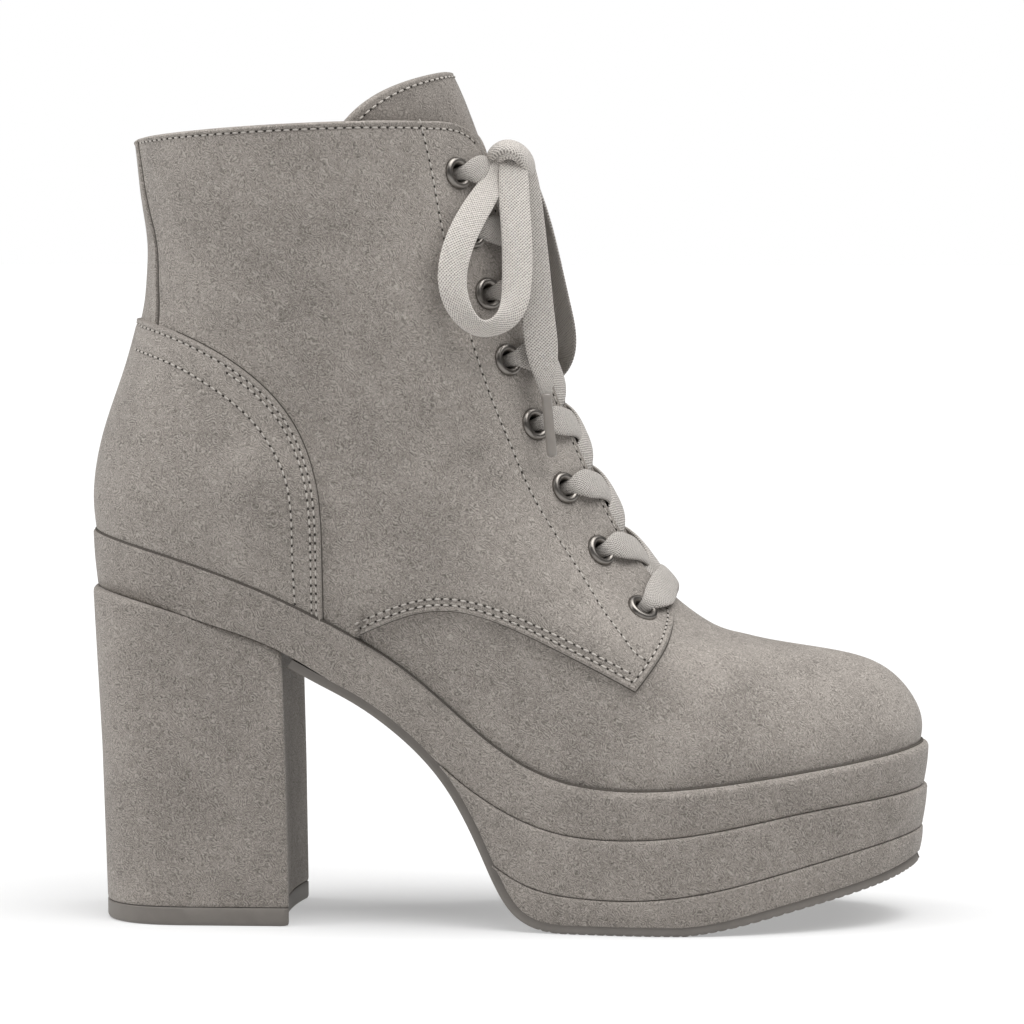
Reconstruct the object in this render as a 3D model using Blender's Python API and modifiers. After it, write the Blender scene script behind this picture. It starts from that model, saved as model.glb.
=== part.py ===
"""Lace-up platform ankle boot for the right foot, standing empty on its sole.

The boot is modelled in millimetres and scaled to metres as each mesh is made.
+X runs to the toe, +Y to the inner side of the foot and +Z up from the floor.
One function, last_point, gives the upper's outer surface: a level climbs from the
feather line (0) to the collar (10) and past it to the tongue's tip, and an angle
runs round the boot from the back seam (0) over the outer side to the front (pi).
"""
import math

import bmesh
import bpy
import numpy as np
from mathutils import Vector

MM = 0.001

# Driving sizes in millimetres.
GAP = 0.35            # air left between neighbouring pieces
PANEL_GAP = 1.0       # air under the panels laid over the upper
WALL = 2.0            # wall of the upper, suede and lining together
QUARTER = 1.0         # quarters laid over the upper
COUNTER = 1.8         # counter and backstay, a step higher than the quarters
OUTSOLE = 2.6         # rubber outsole
TOP_PIECE = 5.2       # rubber under the heel
INSOLE = 2.4
TONGUE = 2.2
LACE_WIDTH = 8.6
LACE_THICK = 1.5
EYELET_HOLE = 2.5     # inner radius
EYELET_BARREL = 3.0   # outer radius of the barrel
EYELET_RIM = 4.7      # outer radius of the rim
THROAT_HALF = 10.5    # half the gap between the two facings
THROAT_LEVEL = 6.15   # where the throat begins, above the vamp
COLLAR_LEVEL = 10.0
TIP_LEVEL = 11.0
CORNER_START = 2.40     # angle where the collar's front corner begins to round
CORNER_DROP = 0.32      # levels that the corner falls
FLAT_SPOT = (16.0, 50.0)   # stretch of the forefoot that rests on the floor

# Sections of the last. Each row is one line round the boot, given by its back and
# front points in the side view, by the share of the sole's own sag that it keeps,
# and by the half width that an ellipse would have at six places along it.
#   level  back_x  back_z  front_x front_z  sag   back  heel  waist ball  toe   front
SECTIONS = np.array((
    (0.0, -116.4, 110.2, 117.0,  50.3, 1.00, 55.0, 42.3, 29.4, 45.0, 53.4, 62.0),
    (1.0, -117.4, 120.0, 117.2,  58.0, 0.93, 56.0, 45.4, 31.8, 46.0, 52.0, 59.0),
    (2.0, -116.5, 130.0, 111.8,  67.4, 0.82, 56.0, 46.9, 33.6, 44.2, 46.0, 50.0),
    (3.0, -114.4, 139.0, 101.0,  74.4, 0.68, 54.0, 46.0, 34.2, 42.0, 37.0, 38.0),
    (4.0, -111.6, 147.5,  84.0,  77.6, 0.52, 51.0, 44.8, 34.0, 40.4, 31.0, 30.0),
    (5.0, -108.8, 155.5,  66.0,  80.8, 0.36, 47.5, 43.2, 33.8, 39.6, 31.0, 27.5),
    (6.0, -106.3, 164.0,  49.5,  89.6, 0.22, 43.0, 41.5, 33.8, 38.6, 32.0, 28.0),
    (7.0, -104.2, 174.0,  33.0, 109.4, 0.10, 38.8, 39.8, 34.2, 37.4, 33.0, 30.5),
    (8.0, -103.1, 187.0,  14.5, 147.0, 0.03, 36.2, 38.2, 35.2, 36.8, 34.5, 33.8),
    (9.0, -103.9, 202.5,   0.4, 189.0, 0.00, 36.0, 37.4, 36.2, 36.8, 36.0, 35.5),
    (10.0, -106.0, 221.5, -10.4, 227.8, 0.00, 36.6, 37.0, 37.0, 37.2, 36.5, 35.8),
    (11.0, -107.6, 235.0, -13.6, 242.2, 0.00, 36.6, 37.0, 37.0, 37.2, 36.0, 35.0),
))
STATION_SHARES = np.array((0.0, 0.12, 0.42, 0.70, 0.92, 1.0))

# Side view of the sole: x and z of the feather line, of the two lines between the
# platform's layers and of the outsole's lower face, heel to toe.
FEATHER = np.array((
    (-120.0, 110.8), (-94.0, 104.0), (-68.0, 94.7), (-45.0, 83.4), (-25.0, 70.4),
    (-8.0, 56.0), (8.0, 45.6), (24.0, 41.2), (42.0, 40.6), (60.0, 42.1),
    (85.0, 45.3), (105.0, 48.2), (120.0, 50.8),
))
RAND_FOOT = np.array((
    (-121.0, 95.4), (-101.0, 91.0), (-84.0, 86.0), (-66.0, 79.6), (-45.5, 67.6),
    (-27.2, 54.8), (-16.7, 45.4), (-4.0, 36.2), (12.0, 29.2), (30.0, 27.0),
    (51.5, 28.3), (83.0, 33.9), (105.0, 36.8), (120.0, 38.6),
))
MIDDLE_FOOT = np.array((
    (-8.0, 22.5), (4.0, 14.4), (19.6, 10.6), (38.0, 10.2), (54.0, 11.9),
    (83.0, 18.6), (104.0, 23.6), (120.0, 27.0),
))
OUTSOLE_FACE = np.array((
    (-61.6, 73.6), (-54.0, 69.4), (-43.5, 63.8), (-33.5, 57.0), (-25.0, 49.6),
    (-17.6, 41.0), (-11.8, 31.5), (-7.0, 21.6), (-2.2, 11.4), (3.2, 4.2), (9.0, 1.1),
    (16.0, 0.0), (33.0, 0.0), (50.0, 0.0), (62.0, 1.7), (80.0, 6.0), (98.0, 10.4),
    (110.0, 13.9), (117.0, 16.6),
))
# How far the heel-to-toe line of the foot swings to the inner side, by x.
SWING = np.array(((-120.0, 0.2), (-60.0, -0.8), (-15.0, -2.2), (40.0, -1.0), (85.0, 3.0), (120.0, 6.0)))
# How far the rand stands out past the upper, by x.
RAND_EDGE = np.array(((-121.0, 4.0), (-60.0, 3.6), (-20.0, 2.8), (30.0, 2.5), (120.0, 2.4)))

# The heel from its seat to the floor: share of the height, back x, breast x, half width.
HEEL = np.array(((0.0, -116.2, -61.6, 28.4), (0.5, -117.6, -62.2, 29.2), (1.0, -119.9, -63.2, 30.6)))
BREAST_HOLLOW = 2.4

# Side view of the edges laid over the upper on the outer side, x and z.
COUNTER_FRONT = np.array(((-51.0, 87.0), (-51.0, 100.0), (-51.2, 112.4), (-52.4, 124.0)))
COUNTER_TOP = np.array(((-106.5, 171.2), (-95.0, 168.2), (-84.3, 163.7), (-74.4, 157.9),
                        (-64.7, 149.6), (-58.2, 140.6), (-54.6, 132.6), (-52.4, 124.0)))
SEAM = np.array(((-42.3, 82.6), (-32.4, 87.0), (-22.5, 90.0), (-14.0, 90.4), (-6.0, 88.9),
                 (4.0, 85.2), (17.0, 79.0), (27.0, 73.9), (36.8, 68.6)))
TAB = np.array(((36.8, 68.6), (42.6, 76.4), (45.9, 82.6), (46.4, 87.6), (44.8, 92.4)))
EYELETS = np.array(((-14.9, 212.2), (-10.9, 195.6), (-6.3, 178.4), (-0.8, 159.8),
                    (6.7, 141.6), (15.3, 123.6), (25.4, 105.8), (37.4, 89.4)))
BACKSTAY_ANGLE = 0.52   # half the strip, as an angle round the back

# Colour, roughness and metallic value of each kind of surface.
FINISHES = {
    "suede": ((0.30, 0.28, 0.26, 1.0), 0.9, 0.0),
    "lining": ((0.38, 0.35, 0.32, 1.0), 0.8, 0.0),
    "rubber": ((0.13, 0.12, 0.11, 1.0), 0.75, 0.0),
    "lace": ((0.46, 0.43, 0.40, 1.0), 0.9, 0.0),
    "gunmetal": ((0.12, 0.11, 0.10, 1.0), 0.35, 1.0),
    "aglet": ((0.33, 0.30, 0.27, 1.0), 0.4, 0.0),
}


def spline(knots, values, flat_ends=False):
    """Cubic spline through values at the knots, with free or flat ends."""
    knots = np.asarray(knots, float)
    values = np.asarray(values, float).reshape(len(knots), -1)
    step = np.diff(knots)
    rise = np.diff(values, axis=0) / step[:, None]
    count = len(knots)
    matrix = np.zeros((count, count))
    right = np.zeros_like(values)
    for i in range(1, count - 1):
        matrix[i, i - 1:i + 2] = 1 / step[i - 1], 2 / step[i - 1] + 2 / step[i], 1 / step[i]
        right[i] = 3 * (rise[i - 1] / step[i - 1] + rise[i] / step[i])
    if flat_ends:
        matrix[0, 0] = matrix[-1, -1] = 1.0
    else:
        matrix[0, :2] = 2.0, 1.0
        matrix[-1, -2:] = 1.0, 2.0
        right[0] = 3 * rise[0]
        right[-1] = 3 * rise[-1]
    slope = np.linalg.solve(matrix, right)

    def read(at):
        at = np.asarray(at, float)
        i = np.clip(np.searchsorted(knots, at) - 1, 0, count - 2)
        h = step[i][..., None]
        t = (at - knots[i])[..., None] / h
        a = values[i] * (1 + 2 * t) * (1 - t) ** 2 + values[i + 1] * t * t * (3 - 2 * t)
        return a + h * (slope[i] * t * (1 - t) ** 2 + slope[i + 1] * t * t * (t - 1))

    return read


def curve(table):
    """The table's second column as a smooth function of its first."""
    read = spline(table[:, 0], table[:, 1])
    return lambda at: read(at)[..., 0]


section_at = spline(SECTIONS[:, 0], SECTIONS[:, 1:])
width_share = spline(np.arccos(1 - 2 * STATION_SHARES), np.eye(6), flat_ends=True)
feather = curve(FEATHER)
rand_foot = curve(RAND_FOOT)
middle_foot = curve(MIDDLE_FOOT)
swing = curve(SWING)
rand_edge = curve(RAND_EDGE)


def side_view(level, share):
    """x and z of the line at a level, share 0 at the back and 1 at the front."""
    row = section_at(level)
    back_x, back_z, front_x, front_z, sag = (row[..., i] for i in range(5))
    first = SECTIONS[0]
    sole_x = first[1] + (first[3] - first[1]) * share
    sole_sag = feather(sole_x) - (first[2] + (first[4] - first[2]) * share)
    x = back_x + (front_x - back_x) * share
    return x, back_z + (front_z - back_z) * share + sag * sole_sag


def bare_point(level, angle):
    """Point on the upper's outer surface, without any offset."""
    level, angle = np.broadcast_arrays(np.asarray(level, float), np.asarray(angle, float))
    x, z = side_view(level, (1 - np.cos(angle)) / 2)
    turn = np.abs((angle + math.pi) % (2 * math.pi) - math.pi)
    half = np.sum(width_share(turn) * section_at(level)[..., 5:], axis=-1)
    fade = np.clip(1 - level / COLLAR_LEVEL, 0, 1)
    return np.stack((x, swing(x) * fade - half * np.sin(angle), z), axis=-1)


def last_normal(level, angle):
    """Outward normal of the upper's surface."""
    level, angle = np.broadcast_arrays(np.asarray(level, float), np.asarray(angle, float))
    up = bare_point(level + 0.01, angle) - bare_point(level - 0.01, angle)
    round_boot = bare_point(level, angle + 0.005) - bare_point(level, angle - 0.005)
    normal = np.cross(round_boot, up)
    return normal / np.linalg.norm(normal, axis=-1, keepdims=True)


def last_point(level, angle, offset=0.0):
    """Point at a distance outside the upper's surface."""
    offset = np.asarray(offset, float)[..., None]
    return bare_point(level, angle) + last_normal(level, angle) * offset


def locate(x, z):
    """Level and angle of the outer side's point that shows at x and z in the side view."""
    x, z = np.broadcast_arrays(np.asarray(x, float), np.asarray(z, float))
    low = np.zeros_like(x)
    high = np.full_like(x, TIP_LEVEL)
    for _ in range(40):
        level = (low + high) / 2
        row = section_at(level)
        share = np.clip((x - row[..., 0]) / (row[..., 2] - row[..., 0]), 0, 1)
        under = side_view(level, share)[1] < z
        low = np.where(under, level, low)
        high = np.where(under, high, level)
    return np.stack((level, np.arccos(1 - 2 * share)), axis=-1)


def throat_angle(level):
    """Angle of the facing's edge; the front line itself below the throat."""
    level = np.asarray(level, float)
    opening = np.clip((level - THROAT_LEVEL) / 0.35, 0, 1)
    half_gap = THROAT_HALF * np.sqrt(1 - (1 - opening) ** 2)
    return math.pi - np.arcsin(half_gap / section_at(level)[..., 10])


def collar_level(angle):
    """Level of the collar's edge, which rounds down into the facing at the front."""
    share = np.clip((np.abs(angle) - CORNER_START) / (throat_angle(COLLAR_LEVEL) - CORNER_START), 0, 1)
    return COLLAR_LEVEL - CORNER_DROP * (1 - np.sqrt(1 - share ** 2))


def along(points, shares):
    """Points at shares of the length of a line of level and angle pairs."""
    points = np.asarray(points, float)
    places = bare_point(points[:, 0], points[:, 1])
    run = np.concatenate(([0.0], np.cumsum(np.linalg.norm(np.diff(places, axis=0), axis=1))))
    return np.stack([np.interp(shares * run[-1], run, points[:, i]) for i in (0, 1)], axis=-1)


def smooth_line(table, count=40, aside=0.0):
    """Side-view line through a table's points, moved to its left by a distance."""
    run = np.concatenate(([0.0], np.cumsum(np.linalg.norm(np.diff(table, axis=0), axis=1))))
    read = spline(run, table)
    at = np.linspace(0, run[-1], count)
    heading = read(at + 0.1) - read(at - 0.1)
    heading /= np.linalg.norm(heading, axis=1)[:, None]
    return read(at) + aside * np.stack((-heading[:, 1], heading[:, 0]), axis=-1)


def patch(bottom, top, rear, front, columns, rows, crowd=1.0, rise=1.0):
    """Grid of level and angle inside four edges, rear to front and bottom to top.

    A crowd over 1 draws the columns together towards the front, and a rise over 1
    the rows towards the bottom.
    """
    across = 1 - (1 - np.linspace(0, 1, columns)) ** crowd
    upward = np.linspace(0, 1, rows) ** rise
    bottom, top = along(bottom, across), along(top, across)
    rear, front = along(rear, upward), along(front, upward)
    u = across[None, :, None]
    v = upward[:, None, None]
    grid = (1 - v) * bottom[None] + v * top[None] + (1 - u) * rear[:, None] + u * front[:, None]
    corners = (1 - u) * (1 - v) * bottom[0] + u * (1 - v) * bottom[-1]
    return grid - corners - (1 - u) * v * top[0] - u * v * top[-1]


def finish(obj, kind):
    """Gives a piece its material and files it with the boot."""
    colour, roughness, metallic = FINISHES[kind]
    material = bpy.data.materials.new(obj.name)
    material.use_nodes = True
    shader = material.node_tree.nodes["Principled BSDF"]
    shader.inputs["Base Color"].default_value = colour
    shader.inputs["Roughness"].default_value = roughness
    shader.inputs["Metallic"].default_value = metallic
    obj.data.materials.append(material)
    obj.data.shade_smooth()
    obj.data.set_sharp_from_angle(angle=math.radians(35))
    for other in list(obj.users_collection):
        other.objects.unlink(obj)
    boot.objects.link(obj)
    obj.parent = stand


def tidy(obj, fill=False):
    """Welds a mesh's touching points, closes its open end and turns its faces out."""
    bm = bmesh.new()
    bm.from_mesh(obj.data)
    bmesh.ops.remove_doubles(bm, verts=bm.verts, dist=0.000005)
    bmesh.ops.dissolve_degenerate(bm, edges=bm.edges, dist=0.000005)
    if fill:
        bmesh.ops.holes_fill(bm, edges=[e for e in bm.edges if e.is_boundary], sides=0)
        bmesh.ops.recalc_face_normals(bm, faces=bm.faces)
    bm.to_mesh(obj.data)
    bm.free()


def grid_object(name, points):
    """Grid primitive with its points laid on rows and columns of places in millimetres."""
    rows, columns = points.shape[:2]
    bpy.ops.mesh.primitive_grid_add(x_subdivisions=columns - 1, y_subdivisions=rows - 1)
    obj = bpy.context.object
    obj.name = name
    obj.data.name = name
    obj.data.vertices.foreach_set("co", (points * MM).astype(np.float32).ravel())
    obj.data.update()
    return obj


def shell(name, points, thickness, kind, outward=1.0):
    """A sheet through the points, thickened away from the foot or towards it."""
    obj = grid_object(name, points)
    tidy(obj)
    solidify = obj.modifiers.new("thickness", "SOLIDIFY")
    solidify.thickness = thickness * MM
    solidify.offset = outward
    finish(obj, kind)
    return obj


def loft(name, rings, kind):
    """A closed body through rings of places; the first and last ring close on a line."""
    obj = grid_object(name, rings)
    tidy(obj, fill=True)
    finish(obj, kind)
    return obj


def cut(obj, cutter, operation="DIFFERENCE"):
    boolean = obj.modifiers.new(cutter.name, "BOOLEAN")
    boolean.operation = operation
    boolean.object = cutter
    boolean.solver = "EXACT"
    boolean.use_self = operation == "UNION"


def sole_edge(angle, margin):
    """Plan of the upper's feather line, moved out by a margin."""
    here = bare_point(0.0, angle)
    along_edge = bare_point(0.0, angle + 0.002) - bare_point(0.0, angle - 0.002)
    out = np.stack((along_edge[..., 1], -along_edge[..., 0]), axis=-1)
    out /= np.linalg.norm(out, axis=-1, keepdims=True)
    return here[..., :2] + out * np.asarray(margin)[..., None]


def spine(angles, front=106.0, back=-106.0):
    """Plan of the line that a layer closes on, down the middle of the sole."""
    x = np.clip(bare_point(0.0, angles)[:, 0], back, front)
    return np.stack((x, swing(x)), axis=-1)


def layer(name, angles, edge, top, foot, kind, shoulder=1.4):
    """A layer of the sole, from its top line down to its foot line, with soft edges."""
    middle = bare_point(0.0, angles)[:, 0]
    rings = []
    # inset from the edge, share of the height, and the shoulder's own drop
    for inset, share, drop in ((None, 0, 0.0), (5.0, 0, 0.0), (shoulder, 0, 0.0),
                               (0.4 * shoulder, 0, -0.3 * shoulder), (0.0, 0, -shoulder),
                               (0.6, 1, shoulder), (0.6 + 0.6 * shoulder, 1, 0.0), (6.0, 1, 0.0), (None, 1, 0.0)):
        plan = spine(angles) if inset is None else sole_edge(angles, edge(middle) - inset)
        height = foot(plan[:, 0]) if share else top(plan[:, 0])
        room = np.maximum(top(plan[:, 0]) - foot(plan[:, 0]), 0.8) / 3
        height = height + np.clip(drop, -room, room)
        rings.append(np.column_stack((plan, height)))
    return loft(name, np.array(rings), kind)


for old in list(bpy.data.objects):
    bpy.data.objects.remove(old, do_unlink=True)
boot = bpy.data.collections.new("lace_up_platform_ankle_boot")
cutters = bpy.data.collections.new("cutters")
bpy.context.scene.collection.children.link(boot)
bpy.context.scene.collection.children.link(cutters)
stand = bpy.data.objects.new("boot_on_floor", None)
boot.objects.link(stand)

# Outsole: its lower face runs along the waist, down the platform's back and on to the toe.
face_run = np.concatenate(([0.0], np.cumsum(np.linalg.norm(np.diff(OUTSOLE_FACE, axis=0), axis=1))))
face_line = spline(face_run, OUTSOLE_FACE)
face_at = np.concatenate((np.linspace(0, face_run[-5], 34)[:-1],
                          face_run[-5] + (face_run[-1] - face_run[-5]) * np.sin(np.linspace(0, math.pi / 2, 13))))
face = face_line(face_at)
heading = face_line(face_at + 0.5) - face_line(face_at - 0.5)
heading /= np.linalg.norm(heading, axis=1)[:, None]
flat = (face[:, 0] > FLAT_SPOT[0] - 1) & (face[:, 0] < FLAT_SPOT[1] + 1)
face[:, 1] = np.where(flat, 0.0, np.maximum(face[:, 1], 0.0))
rise = np.where(flat[:, None], (0.0, 1.0), np.stack((-heading[:, 1], heading[:, 0]), axis=-1))
bed = face + rise * OUTSOLE
half_round = np.linspace(0.0, math.pi, 400)


def outsole_top(x):
    """Height that the layers above the outsole rest on."""
    return np.interp(x, bed[:, 0], bed[:, 1]) + GAP


def sole_width(x, margin, inner):
    """y of the sole's edge at x on the outer or the inner side."""
    edge = sole_edge(2 * math.pi - half_round if inner else half_round, np.full(400, margin))
    return np.interp(x, edge[:, 0], edge[:, 1])


stations = []
for (x, z), (bed_x, bed_z), side_x in zip(face, bed, np.minimum(face[:, 0], 116.7)):
    outer, inner = sole_width(side_x, -0.3, False), sole_width(side_x, -0.3, True)
    half = max((inner - outer) / 2, 0.4)
    centre = (inner + outer) / 2
    ring = [(bed_x, centre + half * s, bed_z) for s in (-1.0, 1.0)]
    ring += [(x, centre + half * s, z) for s in (0.985, -0.985)]
    stations.append(ring + ring[:1])
outsole = grid_object("outsole", np.array(stations))
tidy(outsole, fill=True)
finish(outsole, "rubber")

# The platform in three stepped layers; the two lower ones end on the outsole's slope.


def forefoot_angles(start, slope_end, on_slope, to_toe):
    """Angles of stations along a forefoot layer: close on the slope, then on to the toe and back."""
    first, last = SECTIONS[0, 1], SECTIONS[0, 3]
    slope = np.arccos(1 - 2 * (np.linspace(start, slope_end, on_slope) - first) / (last - first))
    outer = np.concatenate((slope[:-1], np.linspace(slope[-1], math.pi, to_toe)))
    return np.concatenate((outer, 2 * math.pi - outer[-2::-1]))


middle_angles = forefoot_angles(-14.0, 8.0, 8, 12)
to_slope = np.linspace(0, middle_angles[0], 15)[:-1]
around = np.concatenate((to_slope, middle_angles, 2 * math.pi - to_slope[::-1]))
layer("rand", around, rand_edge, lambda x: feather(x) - 0.8,
      lambda x: np.maximum(rand_foot(x), outsole_top(x) + 0.15), "suede", shoulder=2.0)
layer("platform_middle", middle_angles, lambda x: rand_edge(x) - 0.3,
      lambda x: rand_foot(x) - GAP,
      lambda x: np.minimum(np.maximum(middle_foot(x), outsole_top(x)), rand_foot(x) - 1.0), "suede")
layer("platform_base", forefoot_angles(0.4, 16.0, 6, 12), lambda x: rand_edge(x) - 1.4,
      lambda x: middle_foot(x) - GAP,
      lambda x: np.minimum(outsole_top(x), middle_foot(x) - 1.0), "suede", shoulder=1.0)


def heel_plan(share):
    """Plan of the heel at a share of its height, a block with a hollow breast."""
    back_x, breast_x, half = (np.interp(share, HEEL[:, 0], HEEL[:, i]) for i in (1, 2, 3))
    reach = 27.0
    turn = np.linspace(-math.pi / 2, math.pi / 2, 21)
    rear = np.stack((back_x + reach - reach * np.abs(np.cos(turn)) ** (2 / 2.7),
                     np.sign(turn) * half * np.abs(np.sin(turn)) ** (2 / 2.7)), axis=-1)
    side = np.array((breast_x - 1.2, half))
    corner = np.array((breast_x, half - 1.2))
    across = np.linspace(half - 1.2, 1.2 - half, 9)
    breast = np.stack((breast_x - BREAST_HOLLOW * (1 - (across / (half - 1.2)) ** 2), across), axis=-1)
    return np.concatenate((rear, side[None], corner[None], breast[1:-1],
                           corner[None] * (1, -1), side[None] * (1, -1), rear[:1]))


def heel_rings(shares, foot, head):
    """Rings of the heel between a foot height and a head height that varies with x."""
    rings = []
    for share in shares:
        plan = heel_plan(share)
        rings.append(np.column_stack((plan, foot + (head(plan[:, 0]) - foot) * share)))
    return np.array(rings)


heel_head = TOP_PIECE + GAP
heel_block = grid_object("heel_block", heel_rings(np.linspace(0, 1, 6), heel_head, lambda x: rand_foot(x) - GAP))
tidy(heel_block, fill=True)
finish(heel_block, "suede")
floor_plan = heel_plan(0.0)
top_piece = grid_object("heel_top_piece", np.array([
    np.column_stack((floor_plan, np.full(len(floor_plan), height))) for height in (0.0, TOP_PIECE)]))
tidy(top_piece, fill=True)
finish(top_piece, "rubber")

# Upper: rows from the feather line to the collar, round from facing to facing.
levels = np.concatenate((np.linspace(0, 5.7, 11), (6.15, 6.22, 6.45), np.linspace(7.0, 10.0, 7)))
columns = np.linspace(-1, 1, 39)
angles = throat_angle(levels)[:, None] * columns[None, :]
fall = np.clip((levels[:, None] - 8.0) / (COLLAR_LEVEL - 8.0), 0, 1) * (COLLAR_LEVEL - collar_level(angles))
upper = shell("upper", last_point(levels[:, None] - fall, angles), WALL, "suede", outward=-1.0)

# Insole inside the upper, on the board.
sock = []
for inset, height in ((None, 0.4), (WALL + 0.7, 0.4), (WALL + 0.7, 1.4), (WALL + 1.4, INSOLE), (None, INSOLE)):
    plan = spine(around) if inset is None else sole_edge(around, np.full(len(around), -inset))
    sock.append(np.column_stack((plan, feather(plan[:, 0]) + height)))
loft("insole", np.array(sock), "lining")

# Panels laid over the upper. Each is a sheet between the upper's surface and one outside it.
collar_line = [(collar_level(a), a) for a in np.linspace(BACKSTAY_ANGLE + 0.03, throat_angle(COLLAR_LEVEL), 40)]
facing = [(a, throat_angle(a)) for a in np.linspace(6.5, COLLAR_LEVEL - CORNER_DROP, 16)]
facing[-1] = collar_line[-1]
counter_edge = np.concatenate((COUNTER_FRONT, COUNTER_TOP[-2::-1]))
rim_line = locate(*smooth_line(counter_edge).T)
clear_line = locate(*smooth_line(counter_edge, aside=-0.8).T)
split = int(np.argmin(np.abs(smooth_line(counter_edge)[:, 1] - COUNTER_FRONT[-1, 1])))
counter_front, counter_rim = rim_line[:split + 1], rim_line[split:]
counter_front[0, 0] = clear_line[0, 0] = 0.06
counter_rim[-1, 1] = 0.0
rim_top = counter_rim[-1, 0]
seam = locate(*smooth_line(SEAM).T)
seam[0, 0] = 0.06
tab = locate(*smooth_line(TAB, 12).T)
past_strip = BACKSTAY_ANGLE + 0.03
rear_edge = np.concatenate((clear_line[clear_line[:, 1] > past_strip + 0.04], [(9.0, past_strip), collar_line[0]]))
foot_edge = np.concatenate((clear_line[:1], seam))
front_edge = np.concatenate((tab, facing))
quarter_grid = patch(foot_edge, collar_line, rear_edge, front_edge, 17, 16, crowd=1.5, rise=1.3)
for name, side in (("quarter_lateral", 1), ("quarter_medial", -1)):
    grid = quarter_grid if side > 0 else quarter_grid[:, ::-1]
    points = last_point(grid[..., 0], grid[..., 1] * side, PANEL_GAP)
    shell(name, points, QUARTER, "suede")

heel_back = [(a, 0.0) for a in np.linspace(0.06, rim_top, 8)]
heel_foot = [(0.06, a) for a in np.linspace(0.0, counter_front[0, 1], 10)]
heel_rim = counter_rim[::-1]
half_counter = patch(heel_foot, heel_rim, heel_back, counter_front, 10, 7)
counter_grid = np.concatenate((half_counter[:, :0:-1] * (1, -1), half_counter), axis=1)
shell("heel_counter", last_point(counter_grid[..., 0], counter_grid[..., 1], PANEL_GAP), COUNTER, "suede")

strip_angles = np.linspace(-BACKSTAY_ANGLE, BACKSTAY_ANGLE, 7)
strip_foot_level = np.interp(np.abs(strip_angles), heel_rim[:, 1], heel_rim[:, 0]) + 0.08
rise_share = np.linspace(0, 1, 8)[:, None]
strip_levels = strip_foot_level + (COLLAR_LEVEL - strip_foot_level) * rise_share
shell("backstay", last_point(strip_levels, strip_angles + 0 * strip_levels, PANEL_GAP), COUNTER - 0.4, "suede")

# Tongue: under the facings, wrapped round the front of the ankle, its top edge falling to the sides.
spread = np.linspace(-1, 1, 11)
tongue_rows = []
for share in np.linspace(0, 1, 11):
    reach = 0.42 + 0.88 * min(1.0, share * 1.35) ** 0.8
    head = TIP_LEVEL - 1.0 * np.abs(spread) ** 2.4
    row_level = 5.6 + (head - 5.6) * share
    depth = WALL + GAP + 1.0 * min(1.0, share * 6)
    tongue_rows.append(last_point(row_level, math.pi + spread * reach, -depth))
shell("tongue", np.array(tongue_rows), TONGUE, "suede", outward=-1.0)

# Eyelets: turned rings, let into holes through the facing and the upper.
facing_top = PANEL_GAP + QUARTER
# radius and height over the facing, down the outside and up through the hole
eyelet_profile = ((EYELET_HOLE, 1.6), (EYELET_HOLE + 0.8, 2.1), (EYELET_RIM - 0.9, 2.0), (EYELET_RIM, 1.15),
                  (EYELET_BARREL, 0.75), (EYELET_BARREL, -3.4), (EYELET_HOLE, -3.4))
eyelet_spots = locate(EYELETS[:, 0], EYELETS[:, 1])
punches = bmesh.new()
for side_name, side in (("lateral", 1), ("medial", -1)):
    for number, (level, angle) in enumerate(eyelet_spots, 1):
        place = Vector(last_point(level, angle * side, facing_top) * MM)
        turn = Vector(last_normal(level, angle * side)).to_track_quat("Z", "Y")
        ring = bmesh.new()
        points = [ring.verts.new((radius * MM, 0.0, height * MM)) for radius, height in eyelet_profile]
        edges = [ring.edges.new((points[i - 1], points[i])) for i in range(len(points))]
        bmesh.ops.spin(ring, geom=points + edges, cent=(0, 0, 0), axis=(0, 0, 1), angle=2 * math.pi,
                       steps=8, use_merge=True)
        bmesh.ops.recalc_face_normals(ring, faces=ring.faces)
        mesh = bpy.data.meshes.new("eyelet")
        ring.to_mesh(mesh)
        ring.free()
        eyelet = bpy.data.objects.new(f"eyelet_{side_name}_{number}", mesh)
        eyelet.location = place
        eyelet.rotation_mode = "QUATERNION"
        eyelet.rotation_quaternion = turn
        boot.objects.link(eyelet)
        finish(eyelet, "gunmetal")
        hole = bmesh.ops.create_cone(punches, cap_ends=True, segments=8, depth=14 * MM,
                                     radius1=(EYELET_BARREL + GAP) * MM, radius2=(EYELET_BARREL + GAP) * MM)
        bmesh.ops.rotate(punches, verts=hole["verts"], cent=(0, 0, 0), matrix=turn.to_matrix())
        bmesh.ops.translate(punches, verts=hole["verts"], vec=place)
punch_mesh = bpy.data.meshes.new("eyelet_punches")
punches.to_mesh(punch_mesh)
punches.free()
punch = bpy.data.objects.new("eyelet_punches", punch_mesh)
punch.hide_render = True
punch.display_type = "WIRE"
cutters.objects.link(punch)
for name in ("upper", "quarter_lateral", "quarter_medial"):
    cut(bpy.data.objects[name], punch)

# Lace over the throat: a bar at the bottom and top, and bands from eyelet to opposite facing between.


def strip(name, middle, out, width):
    """A flat closed strip of lace along a line of places, its face turned out."""
    side = np.cross(np.gradient(middle, axis=0), out)
    side *= np.reshape(width, (-1, 1)) / 2 / np.linalg.norm(side, axis=1)[:, None]
    over = middle + out * LACE_THICK
    obj = grid_object(name, np.stack((middle - side, middle + side, over + side, over - side, middle - side), axis=1))
    tidy(obj, fill=True)
    return obj


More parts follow.
